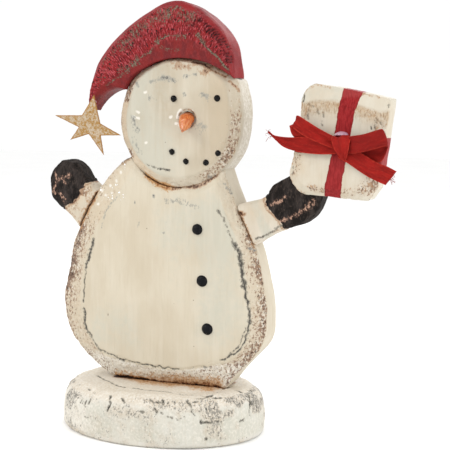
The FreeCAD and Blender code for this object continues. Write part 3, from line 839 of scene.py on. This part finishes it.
# ---- red cap
CAP_RIDGE_Y, CAP_MEAN_R = -19.0, 52
CAP_RIDGE = ((-29, 220), (-19, 225.5), (-9, 233.5), (1, 240.5), (6, 245.5), (12, 248), (25, 249.5))
CAP_CROWN = ((-18, 243), (-10, 251), (-2, 256.5), (8, 260.5), (18, 262), (28, 260.5))
CAP_RUBBED = (
    (0.9, 0.72, CAP_RIDGE),
    (2.2, 0.85, ((32.5, 250), (37.5, 244))),
    (0.9, 1.0, ((38, 243), (47, 234.5), (51, 229.5), (53, 228.5))),
    (1.5, 0.5, ((8, 241.5), (20, 241.5))),
    (3.0, 0.5, ((-18, 229), (-8, 236))),
    (2.6, 0.5, ((-30, 234), (-22, 241))),
    (5.0, 0.58, CAP_CROWN),
    (2.6, 0.3, ((-33, 221), (-24, 236))),
)
CAP_CHISELLED = ((32.5, 261), (41, 252), (48, 246), (52, 237.5), (53, 233))


def strokes_across(path, spacing, length, half_width, strength):
    """Short marks set side by side across a path."""
    marks = []
    for a, b in zip(path, path[1:]):
        a, b = np.array(a), np.array(b)
        run = np.linalg.norm(b - a)
        half = np.array([a[1] - b[1], b[0] - a[0]]) / run * length / 2
        for reach in np.arange(0.4, run, spacing):
            middle = a + (b - a) * reach / run
            marks.append((half_width, strength, (middle - half, middle + half)))
    return marks


def red_paint(name):
    """Crimson in short dry strokes that fan round the crescent, rubbed grey-olive where it was handled."""
    paint = Paint(name)
    own_place = paint.place
    paint.follow("around", "depth", "outward")
    fine = paint.noise(0.66, (1, 1, 3.8), detail=2, roughness=0.6)
    broad = paint.noise(1.9, (1, 1, 3.0), detail=3)
    pits = paint.noise(0.8, (1, 1, 2.6), detail=2, roughness=0.6)
    paint.place = own_place
    grain = paint.swing(0.95, detail=4, roughness=0.72)
    coarse = paint.swing(3.2, detail=3)
    cloud = paint.noise(14, detail=3)
    band, facing, rub = (paint.mask(mask) for mask in ("band", "facing", "rubbed"))
    dusky = paint.times(facing, 0.55)
    strength = paint.plus(paint.times(band, 0.78), 0.12)
    pit = paint.times(paint.span(pits, 0.59, 0.66), paint.plus(band, 0.12))
    rubbed = paint.ragged(rub, paint.plus(paint.times(grain, 3.0), paint.times(coarse, 1.3)))
    colour = paint.tint(tone(156, 37, 39), cloud, 0.35, 0.65, (138, 34, 38))
    colour = paint.mix(paint.times(facing, 0.75), colour, tone(138, 46, 44))
    colour = paint.layered(
        colour,
        (paint.noise(5, (1, 1, 2)), 0.46, 0.62, (104, 40, 44), dusky),
        (broad, 0.53, 0.68, (190, 84, 90), paint.times(strength, 0.6)),
        (fine, 0.53, 0.66, (206, 100, 106), strength),
        (fine, 0.45, 0.35, (92, 26, 30), paint.times(strength, 0.9)))
    colour = paint.mix(paint.times(pit, 0.9), colour, tone(48, 24, 24))
    colour = paint.layered(
        colour,
        (rubbed, 0.42, 0.7, (112, 86, 74), 0.85),
        (rubbed, 0.72, 1.0, (142, 134, 114), 0.85),
        (paint.plus(rub, paint.times(grain, -3.2)), 0.85, 1.15, (62, 54, 46), 0.8))
    colour = paint.mix(paint.times(paint.mask("notch"), 0.9), colour, tone(38, 16, 18))
    height = paint.plus(paint.times(fine, strength), paint.times(pit, -1.0), paint.times(grain, 0.4))
    rough = paint.span(cloud, 0.3, 0.7, 0.46, 0.58)
    return paint.finish(colour, rough, height, 0.35, Specular_IOR_Level=0.12)


def carve_hat():
    piece, p, n = fine_copy("hat", "carved_hat", 0.55, smooth=5)
    x, y, z = p.T
    rim = distance(p, creases("hat", lambda q: q[1] > CAP_RIDGE_Y + 3 and not on_crown(q)))
    angle = np.arctan2(z - HEAD_AT[1], x - HEAD_AT[0])
    outward = np.hypot(x - HEAD_AT[0], z - HEAD_AT[1])
    around = angle * CAP_MEAN_R
    polar = np.stack([around, y, outward], 1)
    band = fall(y, CAP_RIDGE_Y + 0.2, CAP_RIDGE_Y + 1.2)
    facing = rise(-(n[:, 0] * np.cos(angle) + n[:, 2] * np.sin(angle)), 0.05, 0.25)
    forward = fall(y, -13, -10)
    warp = wobble(p, 0.8, 6, 61)
    chisel = strokes_across(CAP_CHISELLED, 1.9, 3.4, 0.62, 1.0)
    notch = drawn(warp, chisel) * forward * rise(noise(p, 2.6, 71), -0.75, -0.2)
    stitches = strokes_across(CAP_RIDGE, 2.0, 3.6, 0.7, 0.8) + strokes_across(CAP_CROWN, 2.7, 7.5, 0.8, 0.8)
    dashes = drawn(warp, stitches) * rise(noise(p, 5, 74), -0.4, 0.3)
    rubbed = np.maximum(drawn(warp, CAP_RUBBED), dashes) * forward
    cut = 0.42 * noise(p, 22, 63) + 0.2 * noise(p, 8, 64)
    cut += band * (0.22 * noise(polar, (1.5, 6, 9), 65, 2) + 0.14 * noise(polar, (0.9, 4, 3), 66))
    cut += (1 - band) * 0.1 * noise(polar, (9, 9, 2.5), 67, 2)
    cut -= 0.8 * notch + 0.25 * near(rim, 0.9) + 0.35 * np.minimum(rubbed, 1)
    p = p + n * cut[:, None]
    move(piece, p)
    edges = 0.55 * near(rim, 0.9) * rise(noise(p, 6, 72, 2), -0.2, 0.7)
    store(
        piece,
        around=around,
        depth=y,
        outward=outward,
        band=band * (1 - 0.85 * facing) * rise(np.degrees(angle), 8, 20),
        facing=facing,
        notch=notch * rise(noise(p, 1.1, 73), -0.9, 0.1),
        rubbed=np.maximum(rubbed, edges))
    dress(piece, "hat", red_paint("crimson"))


def on_crown(q):
    """True for points on the seam between the head's crown and the cap."""
    return math.hypot(q[0] - HEAD_AT[0], q[2] - HEAD_AT[1]) < HEAD_AT[2] + 3.0


# ---- arms with mittens
# The painted edge of each mitten: how far along the arm it lies, from one side of the arm to the other.
WAVING_EDGE = ((-18, -17, -13, -6, -1.5, 4.5, 9), (6.5, 9.5, 9.5, 10, 9, 11, 12))
GIFT_EDGE = ((-7, -5, -2, 2, 9), (16.5, 16, 15, 13.5, 13.5))
WAVING_RUBBED = (
    (1.2, 0.95, ((-72, 163), (-70.5, 158.5), (-71, 155), (-73, 151.5))),
    (1.3, 0.9, ((-70.5, 158.5), (-62, 161), (-61, 163))),
    (1.2, 0.8, ((-66.5, 160), (-62.5, 156.5))),
    (1.5, 0.85, ((-73, 151.5), (-68, 150), (-64, 143.5))),
)
GIFT_RUBBED = (
    (1.5, 0.85, ((77.5, 147), (79, 149), (84, 152.5))),
    (1.6, 0.9, ((84, 137.5), (86.5, 140), (91, 141.5))),
    (1.9, 0.85, ((91, 141.5), (95, 143.5), (102.5, 149.5))),
)
SLEEVE_LINES = ((0.8, 0.8, ((67, 126), (76, 131), (85, 135.5))),)
SLEEVE_SCUFFS = ((1.4, 0.75, ((-46, 159.5), (-41, 155))),)
SLEEVE_STAINS = (
    (1.3, 0.85, ((-55, 150.5), (-53.5, 149.5))),
    (1.5, 0.75, ((-61, 142.5), (-56.5, 146))),
    (1.1, 1.3, ((57.5, 142.5), (58.5, 141))),
)


def arm_paint(name):
    """Cream sleeve, then black mitten with a brushed edge, rubbed to pink-brown wood on its ridges."""
    paint = cream_paint(name, (235, 226, 210), (222, 209, 188))
    edge = paint.plus(paint.mask("mitten"), paint.times(paint.swing(1.6, detail=3), 1.6))
    black = paint.span(edge, -0.2, 0.15)
    grain = paint.noise(0.8, (1, 1, 3.2), detail=4, roughness=0.72)
    cloud = paint.noise(3.6, (1, 1, 2.4), detail=4)
    chafe = paint.swing(1.1, (1, 1, 1.6), detail=3, roughness=0.65)
    rub = paint.ragged(paint.mask("knuckle"), paint.times(chafe, 4.0))
    coal = paint.layered(
        tone(33, 29, 27),
        (cloud, 0.38, 0.64, (64, 57, 54)),
        (grain, 0.53, 0.68, (90, 77, 70), 0.75),
        (grain, 0.44, 0.34, (22, 20, 20), 0.8),
        (rub, 0.35, 0.8, (128, 100, 88), 0.6),
        (rub, 0.75, 1.1, (212, 170, 146), 0.85))
    paint.cover("Base Color", black, coal)
    paint.cover("Roughness", black, grey(0.85))
    paint.shader.inputs["Specular IOR Level"].default_value = 0.1
    return paint


def carve_arm(node, name, shoulder, angle, cuff, rubbed, directions, grit, seed):
    """An arm that leaves the shoulder at an angle; grit is how much its sleeve was left rough."""
    piece, p, n = fine_copy(node, name, 0.5, smooth=6)
    way = np.array([math.cos(math.radians(angle)), 0, math.sin(math.radians(angle))])
    side = np.array([-way[2], 0, way[0]])
    q = p - np.array([shoulder[0], 0, shoulder[1]])
    along, across = q @ way, q @ side
    edge = along - np.interp(across, *cuff)
    p, ridges = whittle(p, edge > 1.5, directions)
    warp = wobble(p, 0.6, 5, seed + 6)
    forward = fall(p[:, 1], 1, 4)
    lines = drawn(warp, SLEEVE_LINES) * forward
    cut = 0.3 * noise(p, 14, seed) + 0.16 * noise(p, 5, seed + 1) + 0.07 * noise(p, 1.8, seed + 2)
    cut -= 0.3 * near(edge + 0.2, 0.5) + 0.5 * lines
    p = p + n * (cut * rise(along, 1.5, 5))[:, None]
    move(piece, p)
    seam = np.minimum(*arm_seams(p))
    clean_face = (1 - 1.8 * grit) * rise(np.abs(p[:, 1]), 8.2, 8.8)
    box_edge = rise(np.abs(p[:, 1]), 6.5, 8.0) * rise(noise(p, 6, seed + 3, 2), -0.4, 0.5) * (1 - clean_face)
    wiggle = 0.7 * noise(np.stack([across, 0 * across, 0 * across], 1), 2.6, seed + 4)
    worn = 0.62 * ridges * rise(noise(p, 8, seed + 5, 2), -0.1, 0.5) * (1 - forward)
    store(piece, mitten=edge + wiggle, knuckle=np.maximum(drawn(warp, rubbed) * forward, worn))
    store_cream(
        piece,
        line=lines,
        scuff=drawn(warp, SLEEVE_SCUFFS) * forward,
        bevel=grit * rise(noise(p, 5, seed + 7), -0.1, 0.5) * rise(along, 2, 6) + grit * box_edge,
        chalk=0.12 * forward * (1 - grit),
        cool=0.75 * forward * (1 - grit) * between(along, 2.5, 9, 3),
        stain=most(0.6 * near(seam, 1.0), 0.6 * near(edge + 1.0, 1.0), 0.3 * box_edge,
                   drawn(warp, SLEEVE_STAINS) * forward),
        rust=0.35 * near(seam, 4),
        warm=0.25 + 0.3 * noise(p, 7, seed + 8) + 0.45 * near(edge, 3.5),
        wear=0.35 * box_edge)
    dress(piece, node, arm_paint(name))


def carve_arms():
    carve_arm("waving_arm", "carved_waving_arm", (-49.5, 141.0), 143.5, WAVING_EDGE, WAVING_RUBBED,
              fan_of_directions(26, 0.4), 0.45, 80)
    carve_arm("gift_arm", "carved_gift_arm", (64.0, 137.5), 25.0, GIFT_EDGE, GIFT_RUBBED,
              fan_of_directions(26, 1.1), 0.06, 90)


# ---- gift block
BAND_Z, BAND_X, BAND_HALF = (155, 180, 205, 218), (118.5, 123, 127, 130.5), (5, 4.5, 5, 6)
GIRTH_X, GIRTH_Z, GIRTH_HALF = (92, 136, 147, 152), (185.5, 183.5, 181, 180.5), (4.5, 4.5, 8.5, 8.5)
GIFT_NICKS = (
    (0.7, 1.05, ((100.5, 214), (100, 210.5))),
    (0.7, 1.1, ((94.5, 169), (94.5, 168))),
    (0.6, 0.8, ((94, 172), (94, 171))),
    (0.7, 0.7, ((103, 209), (107, 207))),
    (0.8, 0.75, ((109.5, 205), (110, 203.5))),
    (0.7, 0.65, ((113, 204), (113, 201.5))),
    (0.7, 0.65, ((104.5, 204.5), (104.5, 200))),
    (0.7, 0.7, ((112.5, 199), (113, 196.5))),
    (0.6, 0.9, ((145, 201), (147.5, 197.5))),
    (0.6, 0.7, ((143.5, 200), (145, 197.5))),
    (0.6, 0.85, ((141, 196.5), (141.5, 194.5))),
    (0.6, 0.85, ((143.5, 197), (143.5, 195.5))),
    (0.7, 0.8, ((150.5, 209), (151, 207.5))),
    (0.7, 0.75, ((140, 154.5), (146, 154))),
)
GIFT_WARM = ((7.0, 1.0, ((99.5, 171.0), (101.0, 184.0))), (5.0, 0.9, ((99.0, 160.0), (110.0, 158.5))),
             (7.0, 0.7, ((140.0, 172.0), (143.0, 188.0))), (4.0, 0.6, ((112.0, 166.0), (112.0, 176.0))))
GIFT_RASPED = (
    (3.0, 0.62, ((96, 168), (98, 178), (102.5, 205))),
    (2.8, 0.75, ((106, 160.5), (115, 158.5))),
    (3.4, 0.6, ((115, 158.5), (131, 158))),
    (5.0, 0.78, ((136, 160.5), (141, 159.5), (144.5, 167))),
    (3.0, 0.55, ((146, 178), (148.5, 196))),
)
GIFT_RIDGE = ((101.5, 207), (109, 208.5), (120, 208.5), (132, 206.5), (145.5, 202.5))


def gift_paint():
    """Cream block with two painted red bands, brown where its edges are rubbed."""
    paint = cream_paint("cream_gift", (233, 225, 208), (222, 209, 187))
    cream = paint.shader.inputs["Base Color"].links[0].from_socket
    band = paint.plus(paint.mask("band"), paint.times(paint.swing(3.4, detail=4, roughness=0.6), 1.7))
    strokes = paint.noise(0.9, (1, 1, 5), detail=4, roughness=0.65)
    grain = paint.swing(0.85, detail=4, roughness=0.72)
    hatch = paint.noise(0.55, (1, 1, 6), detail=2, roughness=0.7)
    fade = paint.noise(2.2, detail=4, roughness=0.7)
    red = paint.layered(
        tone(142, 22, 26),
        (strokes, 0.36, 0.66, (172, 44, 46)),
        (band, 1.0, 0.2, (104, 22, 26), 0.3))
    red = paint.mix(paint.times(paint.mask("pale"), 0.55), red, tone(190, 92, 90))
    red = paint.layered(
        red,
        (paint.plus(paint.mask("wear"), paint.times(grain, 2.0)), 0.62, 0.95, (204, 140, 122), 0.7),
        (paint.plus(paint.mask("bevel"), paint.times(grain, -2.4)), 0.72, 1.0, (58, 26, 28), 0.8))
    tan = paint.times(paint.mask("ridge"), paint.span(fade, 0.3, 0.6))
    cream = paint.mix(paint.times(tan, 0.62), cream, tone(204, 176, 142))
    cream = paint.tint(cream, hatch, 0.5, 0.62, (150, 118, 88), paint.times(tan, 0.75))
    paint.feed(paint.shader.inputs["Base Color"], paint.mix(paint.span(band, -0.12, 0.12), cream, red))
    paint.shader.inputs["Specular IOR Level"].default_value = 0.12
    return paint


def carve_gift():
    piece, p, n = fine_copy("gift_block", "carved_gift", 0.55)
    low = np.array(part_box("gift_block")[0]) / MM
    edges = distance(p, creases("gift_block", lambda q: q[1] < -20))
    back = distance(p, creases("gift_block", lambda q: q[1] > -12))
    forward = fall(p[:, 1], -23.0, -21.5)
    warp = wobble(p, 0.6, 5, 108)
    nicks = drawn(warp, GIFT_NICKS) * forward
    hatch = rise(noise(p, (0.8, 2.5, 12), 109), -0.2, 0.25)
    above = np.interp(p[:, 0], *np.array(GIFT_RIDGE).T) - p[:, 2]
    ridge = fall(above, 0.5, 9.5) * rise(above, -3.4, -0.8) * forward
    cut = 0.35 * noise(p, 18, 101) + 0.2 * noise(p, 7, 102) + 0.07 * noise(p, (2, 2, 8), 103, 2)
    chips = fall(edges, 0.5, 2.4) * rise(noise(p, 2.6, 104, 2), 0.0, 0.6)
    cut -= 0.35 * chips + 0.5 * np.minimum(nicks, 1) + 0.3 * hatch * ridge
    p = p + n * cut[:, None]
    p[:, 1] = np.maximum(p[:, 1], low[1] - 0.2)
    move(piece, p)
    x, _, z = p.T
    upright = np.interp(z, BAND_Z, BAND_HALF) - np.abs(x - np.interp(z, BAND_Z, BAND_X))
    girth = np.interp(x, GIRTH_X, GIRTH_HALF) - np.abs(z - np.interp(x, GIRTH_X, GIRTH_Z))
    flat_side = rise(np.abs(n[:, 0]), 0.75, 0.9)
    patches = rise(noise(p, 7, 105, 2), -0.5, 0.45)
    top = rise(above, -2.0, -0.5) * forward
    rasped = drawn(warp, GIFT_RASPED) * forward
    store(
        piece,
        band=np.maximum(np.where(flat_side > 0.5, -9, upright), girth),
        ridge=ridge,
        pale=0.4 * (np.abs(girth) < 9) * rise(x, 138, 146) + 0.5 * rise(z, 211, 214)
        + 0.16 * fall(z, 174, 180))
    store_cream(
        piece,
        bevel=most(rasped, ridge * (0.3 + 0.16 * hatch), 0.35 * near(edges, 3.0) * patches * top),
        stain=np.maximum(0.15 * ridge * hatch, 0.3 * near(edges, 2.0) * patches),
        line=nicks,
        wear=0.4 * near(edges, 1.3) * patches + 0.4 * near(back, 1.5) + 0.34 * rasped,
        warm=0.55 * drawn(p, GIFT_WARM) + 0.6 * ridge,
        cool=0.5 * rise(noise(p, 14, 107), -0.1, 0.6) * (1 - rasped),
        rust=0.25 + 0 * x)
    dress(piece, "gift_block", gift_paint())


# ---- small hard pieces
def carve_nose():
    piece, p, n = fine_copy("nose", "carved_nose", 0.28, smooth=3)
    root, tip = np.array([24.0, -15.0, 199.6]), np.array([25.5, -26.5, 191.2])
    way = (tip - root) / np.linalg.norm(tip - root)
    first = np.cross(way, [0, 0, 1.0])
    first /= np.linalg.norm(first)
    second = np.cross(way, first)
    turns = np.arange(8) * (2 * math.pi / 8) + 0.25
    directions = [math.cos(t) * first + math.sin(t) * second + 0.42 * way for t in turns]
    directions = [d / np.linalg.norm(d) for d in directions]
    p, ridges = whittle(p, (p - root) @ way > -2.5, directions)
    p[:, 2] -= 0.34 * np.maximum(p[:, 2] - root[2], 0)
    p = p + n * (0.08 * noise(p, 3, 111) + 0.04 * noise(p, 1.0, 112))[:, None]
    move(piece, p)
    along = (p - root) @ way
    store(piece, ridge=ridges, tip=rise(along, 10.5, 13.5), root=fall(along, 0.0, 1.6))
    dress(piece, "nose", orange_paint())


def orange_paint():
    """Orange in streaks down the carrot, pale on the ridges between cuts, brown at the root and tip."""
    paint = Paint("orange")
    streak = paint.noise(0.9, (1, 1, 4), detail=4, tilt=(0.6, 0, 0))
    colour = paint.tint(tone(203, 96, 38), streak, 0.35, 0.68, (230, 134, 66))
    colour = paint.mix(paint.times(paint.mask("ridge"), 0.3), colour, tone(248, 190, 140))
    tip = paint.times(paint.mask("tip"), 0.8)
    colour = paint.tint(colour, paint.noise(1.2), 0.4, 0.6, (150, 74, 52), tip)
    colour = paint.mix(paint.times(paint.mask("root"), 0.6), colour, tone(120, 62, 36))
    return paint.finish(colour, 0.2, streak, 0.06, Specular_IOR_Level=0.5)


def dark_paint(name, deep, dusty, roughness, shine):
    paint = Paint(name)
    dust = paint.noise(0.8, detail=5, roughness=0.7)
    colour = paint.tint(tone(*deep), dust, 0.5, 0.75, dusty)
    rough = paint.span(dust, 0.4, 0.7, roughness, roughness + 0.15)
    return paint.finish(colour, rough, dust, 0.05, Specular_IOR_Level=shine)


def make_tacks_and_buttons():
    enamel = dark_paint("black_enamel", (10, 9, 11), (34, 32, 36), 0.16, 0.14)
    satin = dark_paint("navy_black", (14, 14, 18), (42, 42, 48), 0.36, 0.12)
    tacks = sorted(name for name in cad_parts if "tack" in name)
    buttons = sorted(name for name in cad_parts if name.startswith("button"))
    for number, name in enumerate(tacks + buttons):
        is_tack = name in tacks
        piece, p, n = fine_copy(name, "domed_" + name, 0.14 if is_tack else 0.24)
        rough = 0.12 if "mouth" in name else 0.05
        dent = rough * noise(p, 1.6, 120 + number) + 0.4 * rough * noise(p, 0.7, 140 + number)
        move(piece, p + n * dent[:, None])
        dress(piece, name, enamel if is_tack else satin)


def cut_star():
    piece, p, n = fine_copy("star", "sheet_star", 0.3, smooth=2)
    outline = distance(p, creases("star"))
    p = p + n * (0.1 * noise(p, 2.2, 151, 2) * fall(outline, 0.4, 1.2))[:, None]
    p[:, 1] += 0.35 * noise(p * (1, 0, 1), 16, 152) + 0.05 * noise(p * (1, 0, 1), 2.5, 153, 2)
    move(piece, p)
    store(piece, edge=near(outline, 0.9))
    dress(piece, "star", gold_paint())


def gold_paint():
    """Mottled antique gold, browner along the cut edge."""
    paint = Paint("antique_gold")
    mottle = paint.noise(1.7, detail=5, roughness=0.7)
    glitter = paint.noise(0.6, detail=2)
    rim = paint.plus(paint.mask("edge"), paint.times(paint.plus(mottle, -0.5), 1.2))
    colour = paint.layered(
        tone(178, 132, 58),
        (mottle, 0.42, 0.58, (208, 188, 160)),
        (glitter, 0.58, 0.66, (240, 226, 208), 0.6),
        (glitter, 0.4, 0.34, (150, 108, 58), 0.5),
        (rim, 0.4, 0.9, (170, 114, 36), 0.85))
    rough = paint.span(glitter, 0.4, 0.6, 0.34, 0.5)
    return paint.finish(colour, rough, paint.plus(glitter, mottle), 0.12, Metallic=0.35)


def glue_paint():
    paint = Paint("set_glue")
    cloud = paint.noise(1.6, detail=2)
    colour = paint.tint(tone(214, 160, 186), cloud, 0.35, 0.65, (228, 190, 206))
    clear = {"Coat_Weight": 0.6, "Coat_Roughness": 0.03, "Transmission_Weight": 0.25}
    return paint.finish(colour, 0.08, cloud, 0.05, **clear)


def melt_glue():
    """The bead over the knot is a soft drop; the pad behind the star keeps its design shape."""
    paint = glue_paint()
    piece, p, n = fine_copy("bow_glue", "glue_bead", 0.18, smooth=6)
    p = p + n * (0.15 * noise(p, 2.2, 161))[:, None]
    p[:, 2] -= 0.42 * (p[:, 2] - p[:, 2].min())
    move(piece, p)
    dress(piece, "bow_glue", paint)
    keep_node("star_glue", paint)


def keep_node(name, paint):
    """A design solid that stays as it is, in its paint."""
    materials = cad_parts[name].data.materials
    materials.clear()
    materials.append(paint.material)


def streaked_paint(name, size, stretch, dark, light, roughness, bump_mm, **constants):
    paint = Paint(name)
    streaks = paint.noise(size, (1, 1, stretch), detail=4)
    colour = paint.tint(tone(*dark), streaks, *light)
    return paint.finish(colour, roughness, streaks, bump_mm, **constants)


def finish_hidden_fasteners():
    wood = streaked_paint("bare_dowel", 0.7, 12, (196, 156, 108), (0.4, 0.65, (226, 192, 146)), 0.6, 0.08)
    steel = streaked_paint("zinc_steel", 0.4, 6, (150, 148, 142), (0.35, 0.65, (196, 194, 188)), 0.32, 0.03,
                           Metallic=1.0)
    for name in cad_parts:
        if "dowel" in name:
            keep_node(name, wood)
    keep_node("base_screws", steel)


# ---- ribbon
CLOTH_MM = 0.22
STRIPS = {
    "left_tail": (
        ((122, -29.5, 189.5), (114, -30, 190), (104, -30.5, 190), (95, -30.5, 189.5), (88, -31.5, 190),
         (84.5, -32, 191), (82, -31.5, 193)),
        ((122, -29.5, 180.5), (114, -29.5, 180), (104, -29.5, 180.5), (96, -29.5, 182), (90.5, -30, 184),
         (86.5, -31, 187.5), (81.5, -31.5, 192.5))),
    "right_tail": (
        ((125, -30, 187.5), (132, -30.5, 183.5), (139, -30.5, 180), (146, -30.5, 176), (152, -31, 174),
         (157.5, -31.5, 171.5)),
        ((123, -29.5, 178.5), (128.5, -29.5, 175.5), (134.5, -29.5, 171.5), (140.5, -29.5, 168),
         (146, -30, 165.5), (151, -30.5, 163.5))),
    "left_loop": (
        ((122, -32.5, 190), (113, -35, 195), (106.5, -35.5, 199), (101, -34.5, 202), (99, -32, 201),
         (101.5, -29.5, 197), (110, -28.5, 192.5), (122, -29, 188.5)),
        ((121.5, -32, 183.5), (111, -34, 187.5), (103, -35, 191.5), (96.5, -34, 196), (95, -31.5, 195),
         (97, -29, 189.5), (108, -28, 185), (122, -29, 182.5))),
    "right_loop": (
        ((127, -32.5, 190), (132.5, -34.5, 191), (139, -35.5, 192), (145.5, -35.5, 194), (149, -35, 195),
         (149.5, -33, 194), (148, -31.5, 190), (141, -29, 186.5), (127, -29, 186.5)),
        ((127, -32.5, 181.5), (132.5, -34, 181), (138.5, -35, 182), (146, -35, 184), (151.5, -34, 185.5),
         (152, -32.5, 183.5), (148, -30.5, 176.5), (141, -28.5, 177), (127, -29, 181))),
    "knot": (
        ((120.5, -28.5, 189), (120, -31.5, 190.5), (120.5, -34.5, 189.5), (121.5, -36, 185.5),
         (123.5, -35, 181.5), (125, -32, 178.5), (125, -29, 177.5)),
        ((131.5, -28.5, 189), (131.5, -31.5, 190.5), (131.5, -34.5, 189), (131, -35.5, 185),
         (130, -35, 180.5), (128.5, -32.5, 177), (128.5, -29, 177))),
}
# How deep a strip's pleats are, and how much it is crowned.
PLEATS = {
    "left_tail": (0.25, 0.9),
    "right_tail": (0.3, 0.9),
    "left_loop": (0.45, 1.2),
    "right_loop": (0.5, 1.2),
    "knot": (0.55, 0.4),
}
# Where threads hang loose: the place, their direction, how many, and how long.
FRAYED_ENDS = (
    ((83.6, -31.4, 190.6), (-0.6, 0, -0.3), 10, 2.0),
    ((82.2, -31.4, 192.6), (-0.5, 0, 0.5), 5, 1.4),
    ((154.4, -30.8, 167.8), (0.8, -0.1, -0.4), 14, 1.7),
)


def smooth_row(points, count):
    """Evenly numbered points on a smooth curve through the given ones."""
    points = np.array(points, float)
    padded = np.vstack([2 * points[0] - points[1], points, 2 * points[-1] - points[-2]])
    result = []
    for place in np.linspace(0, len(points) - 1, count):
        i = min(int(place), len(points) - 2)
        t = place - i
        a, b, c, d = padded[i:i + 4]
        bend = (2 * a - 5 * b + 4 * c - d) * t ** 2 + (3 * b - a - 3 * c + d) * t ** 3
        result.append(0.5 * (2 * b + (c - a) * t + bend))
    return np.array(result)


def make_strip(edges, pleat, crown, seed, rows=90, columns=19):
    """Points of one stretch of ribbon between its two edges, pleated near its ends and a little crowned."""
    upper, lower = (smooth_row(edge, rows) for edge in edges)
    middle = (upper + lower) / 2
    along = np.concatenate([[0], np.cumsum(np.linalg.norm(np.diff(middle, axis=0), axis=1))])
    ahead = np.gradient(middle, axis=0)
    outward = np.cross(lower - upper, ahead)
    outward /= np.linalg.norm(outward, axis=1)[:, None] + 1e-9
    s = np.linspace(0, 1, columns)
    grid = upper[:, None] * (1 - s)[None, :, None] + lower[:, None] * s[None, :, None]
    from_end = np.minimum(along, along[-1] - along)
    gather = np.exp(-from_end / 7.0)[:, None]
    across = s[None, :] * 10 + 0 * along[:, None]
    places = np.stack([across.ravel(), 0.22 * np.repeat(along, columns), 0 * across.ravel()], 1)
    wander = noise(places, 2.4, seed)
    lift = crown * (1 - (2 * s[None, :] - 1) ** 2) * (1 - gather)
    lift = lift + pleat * (0.35 + 1.3 * gather) * wander.reshape(rows, columns)
    grid = grid + outward[:, None] * lift[:, :, None]
    return grid, across, along[:, None] + 0 * across


def threads(tip, way, count, length, seed):
    """Loose threads at a cut end, as paths that curl apart."""
    spread = np.random.default_rng(seed)
    result = []
    for _ in range(count):
        start = tip + spread.normal(0, 1, 3) * (1.1, 0.15, 1.1)
        turn = way + spread.normal(0, 0.45, 3)
        droop = spread.normal(0, 0.5, 3) + (0, 0, -0.35)
        size = length * spread.uniform(0.4, 1.0)
        steps = np.linspace(0, 1, 6)
        result.append(np.array([start + turn * size * t + droop * size * t * t for t in steps]))
    return result


def make_ribbon():
    build = bmesh.new()
    # Per vertex: across and along the strip in millimetres, and where painted shade darkens it.
    marks = {"across": [], "along": [], "deep": []}

    def add_grid(grid, across, along, deep=0.0):
        rows, columns = across.shape
        verts = [build.verts.new(Vector(q * MM)) for q in grid.reshape(-1, 3)]
        marks["across"].extend(across.ravel())
        marks["along"].extend(along.ravel())
        marks["deep"].extend([deep] * across.size)
        for i in range(rows - 1):
            for j in range(columns - 1):
                k = i * columns + j
                build.faces.new((verts[k], verts[k + 1], verts[k + columns + 1], verts[k + columns]))

    for seed, (name, edges) in enumerate(STRIPS.items(), 170):
        # The right-hand loop is marked for painted shade.
        add_grid(*make_strip(edges, *PLEATS[name], seed), deep=float(name == "right_loop"))
    half_thread = np.array([0.0, 0.0, 0.09])
    for seed, (tip, way, count, length) in enumerate(FRAYED_ENDS, 190):
        for path in threads(np.array(tip), np.array(way), count, length, seed):
            steps = np.arange(len(path))[:, None] * np.ones((1, 2))
            add_grid(np.stack([path - half_thread, path + half_thread], 1), steps, steps)
    mesh = bpy.data.meshes.new("ribbon")
    build.to_mesh(mesh)
    build.free()
    piece = link("ribbon", mesh)
    store(piece, **marks)
    mesh.shade_smooth()
    thicken = piece.modifiers.new("cloth", "SOLIDIFY")
    thicken.thickness = CLOTH_MM * MM
    thicken.offset = 0
    apply_modifiers(piece)
    dress(piece, "ribbon_bow", ribbon_paint())


def ribbon_paint():
    """Scarlet satin: fine ribs across, long threads along, a soft sheen, a painted highlight along both edges
    and painted shade over the right-hand loop.
    """
    paint = Paint("scarlet_ribbon")
    paint.follow("across", "along")
    across, along = paint.mask("across"), paint.mask("along")
    yarn = paint.noise(0.28, (1, 14, 1), detail=3)
    rib = paint.math("SINE", paint.times(along, 2 * math.pi / 0.42))
    wale = paint.math("SINE", paint.times(across, 2 * math.pi / 0.36))
    fade = paint.noise(6, (0.6, 2, 1), detail=3)
    crumbs = paint.noise(0.7, (1, 2.5, 1), detail=3, roughness=0.7)
    # Painted highlight: brighter crumbs along both edges of the ribbon.
    selvedge = paint.span(paint.math("ABSOLUTE", paint.plus(across, -5.0)), 4.3, 4.9, 0, 0.7)
    colour = paint.layered(
        tone(145, 23, 18),
        (fade, 0.35, 0.68, (174, 31, 25)),
        (yarn, 0.52, 0.7, (212, 62, 48), 0.35),
        (crumbs, 0.36, 0.56, (228, 72, 52), selvedge),
        (crumbs, 0.58, 0.7, (224, 78, 56), 0.4))
    # Painted shade: the right-hand loop is darkened.
    colour = paint.mix(paint.times(paint.mask("deep"), 0.4), colour, tone(112, 14, 12))
    height = paint.plus(paint.times(rib, wale, 0.5), paint.times(yarn, 0.8))
    rough = paint.mix(yarn, grey(0.45), grey(0.6))
    return paint.finish(colour, rough, height, 0.08, Specular_IOR_Level=0.1)


# ---- the whole
make_camera()
make_studio()
make_floor()
carve_body()
carve_head()
carve_base()
carve_hat()
carve_arms()
carve_gift()
carve_nose()
make_tacks_and_buttons()
cut_star()
melt_glue()
finish_hidden_fasteners()
make_ribbon()
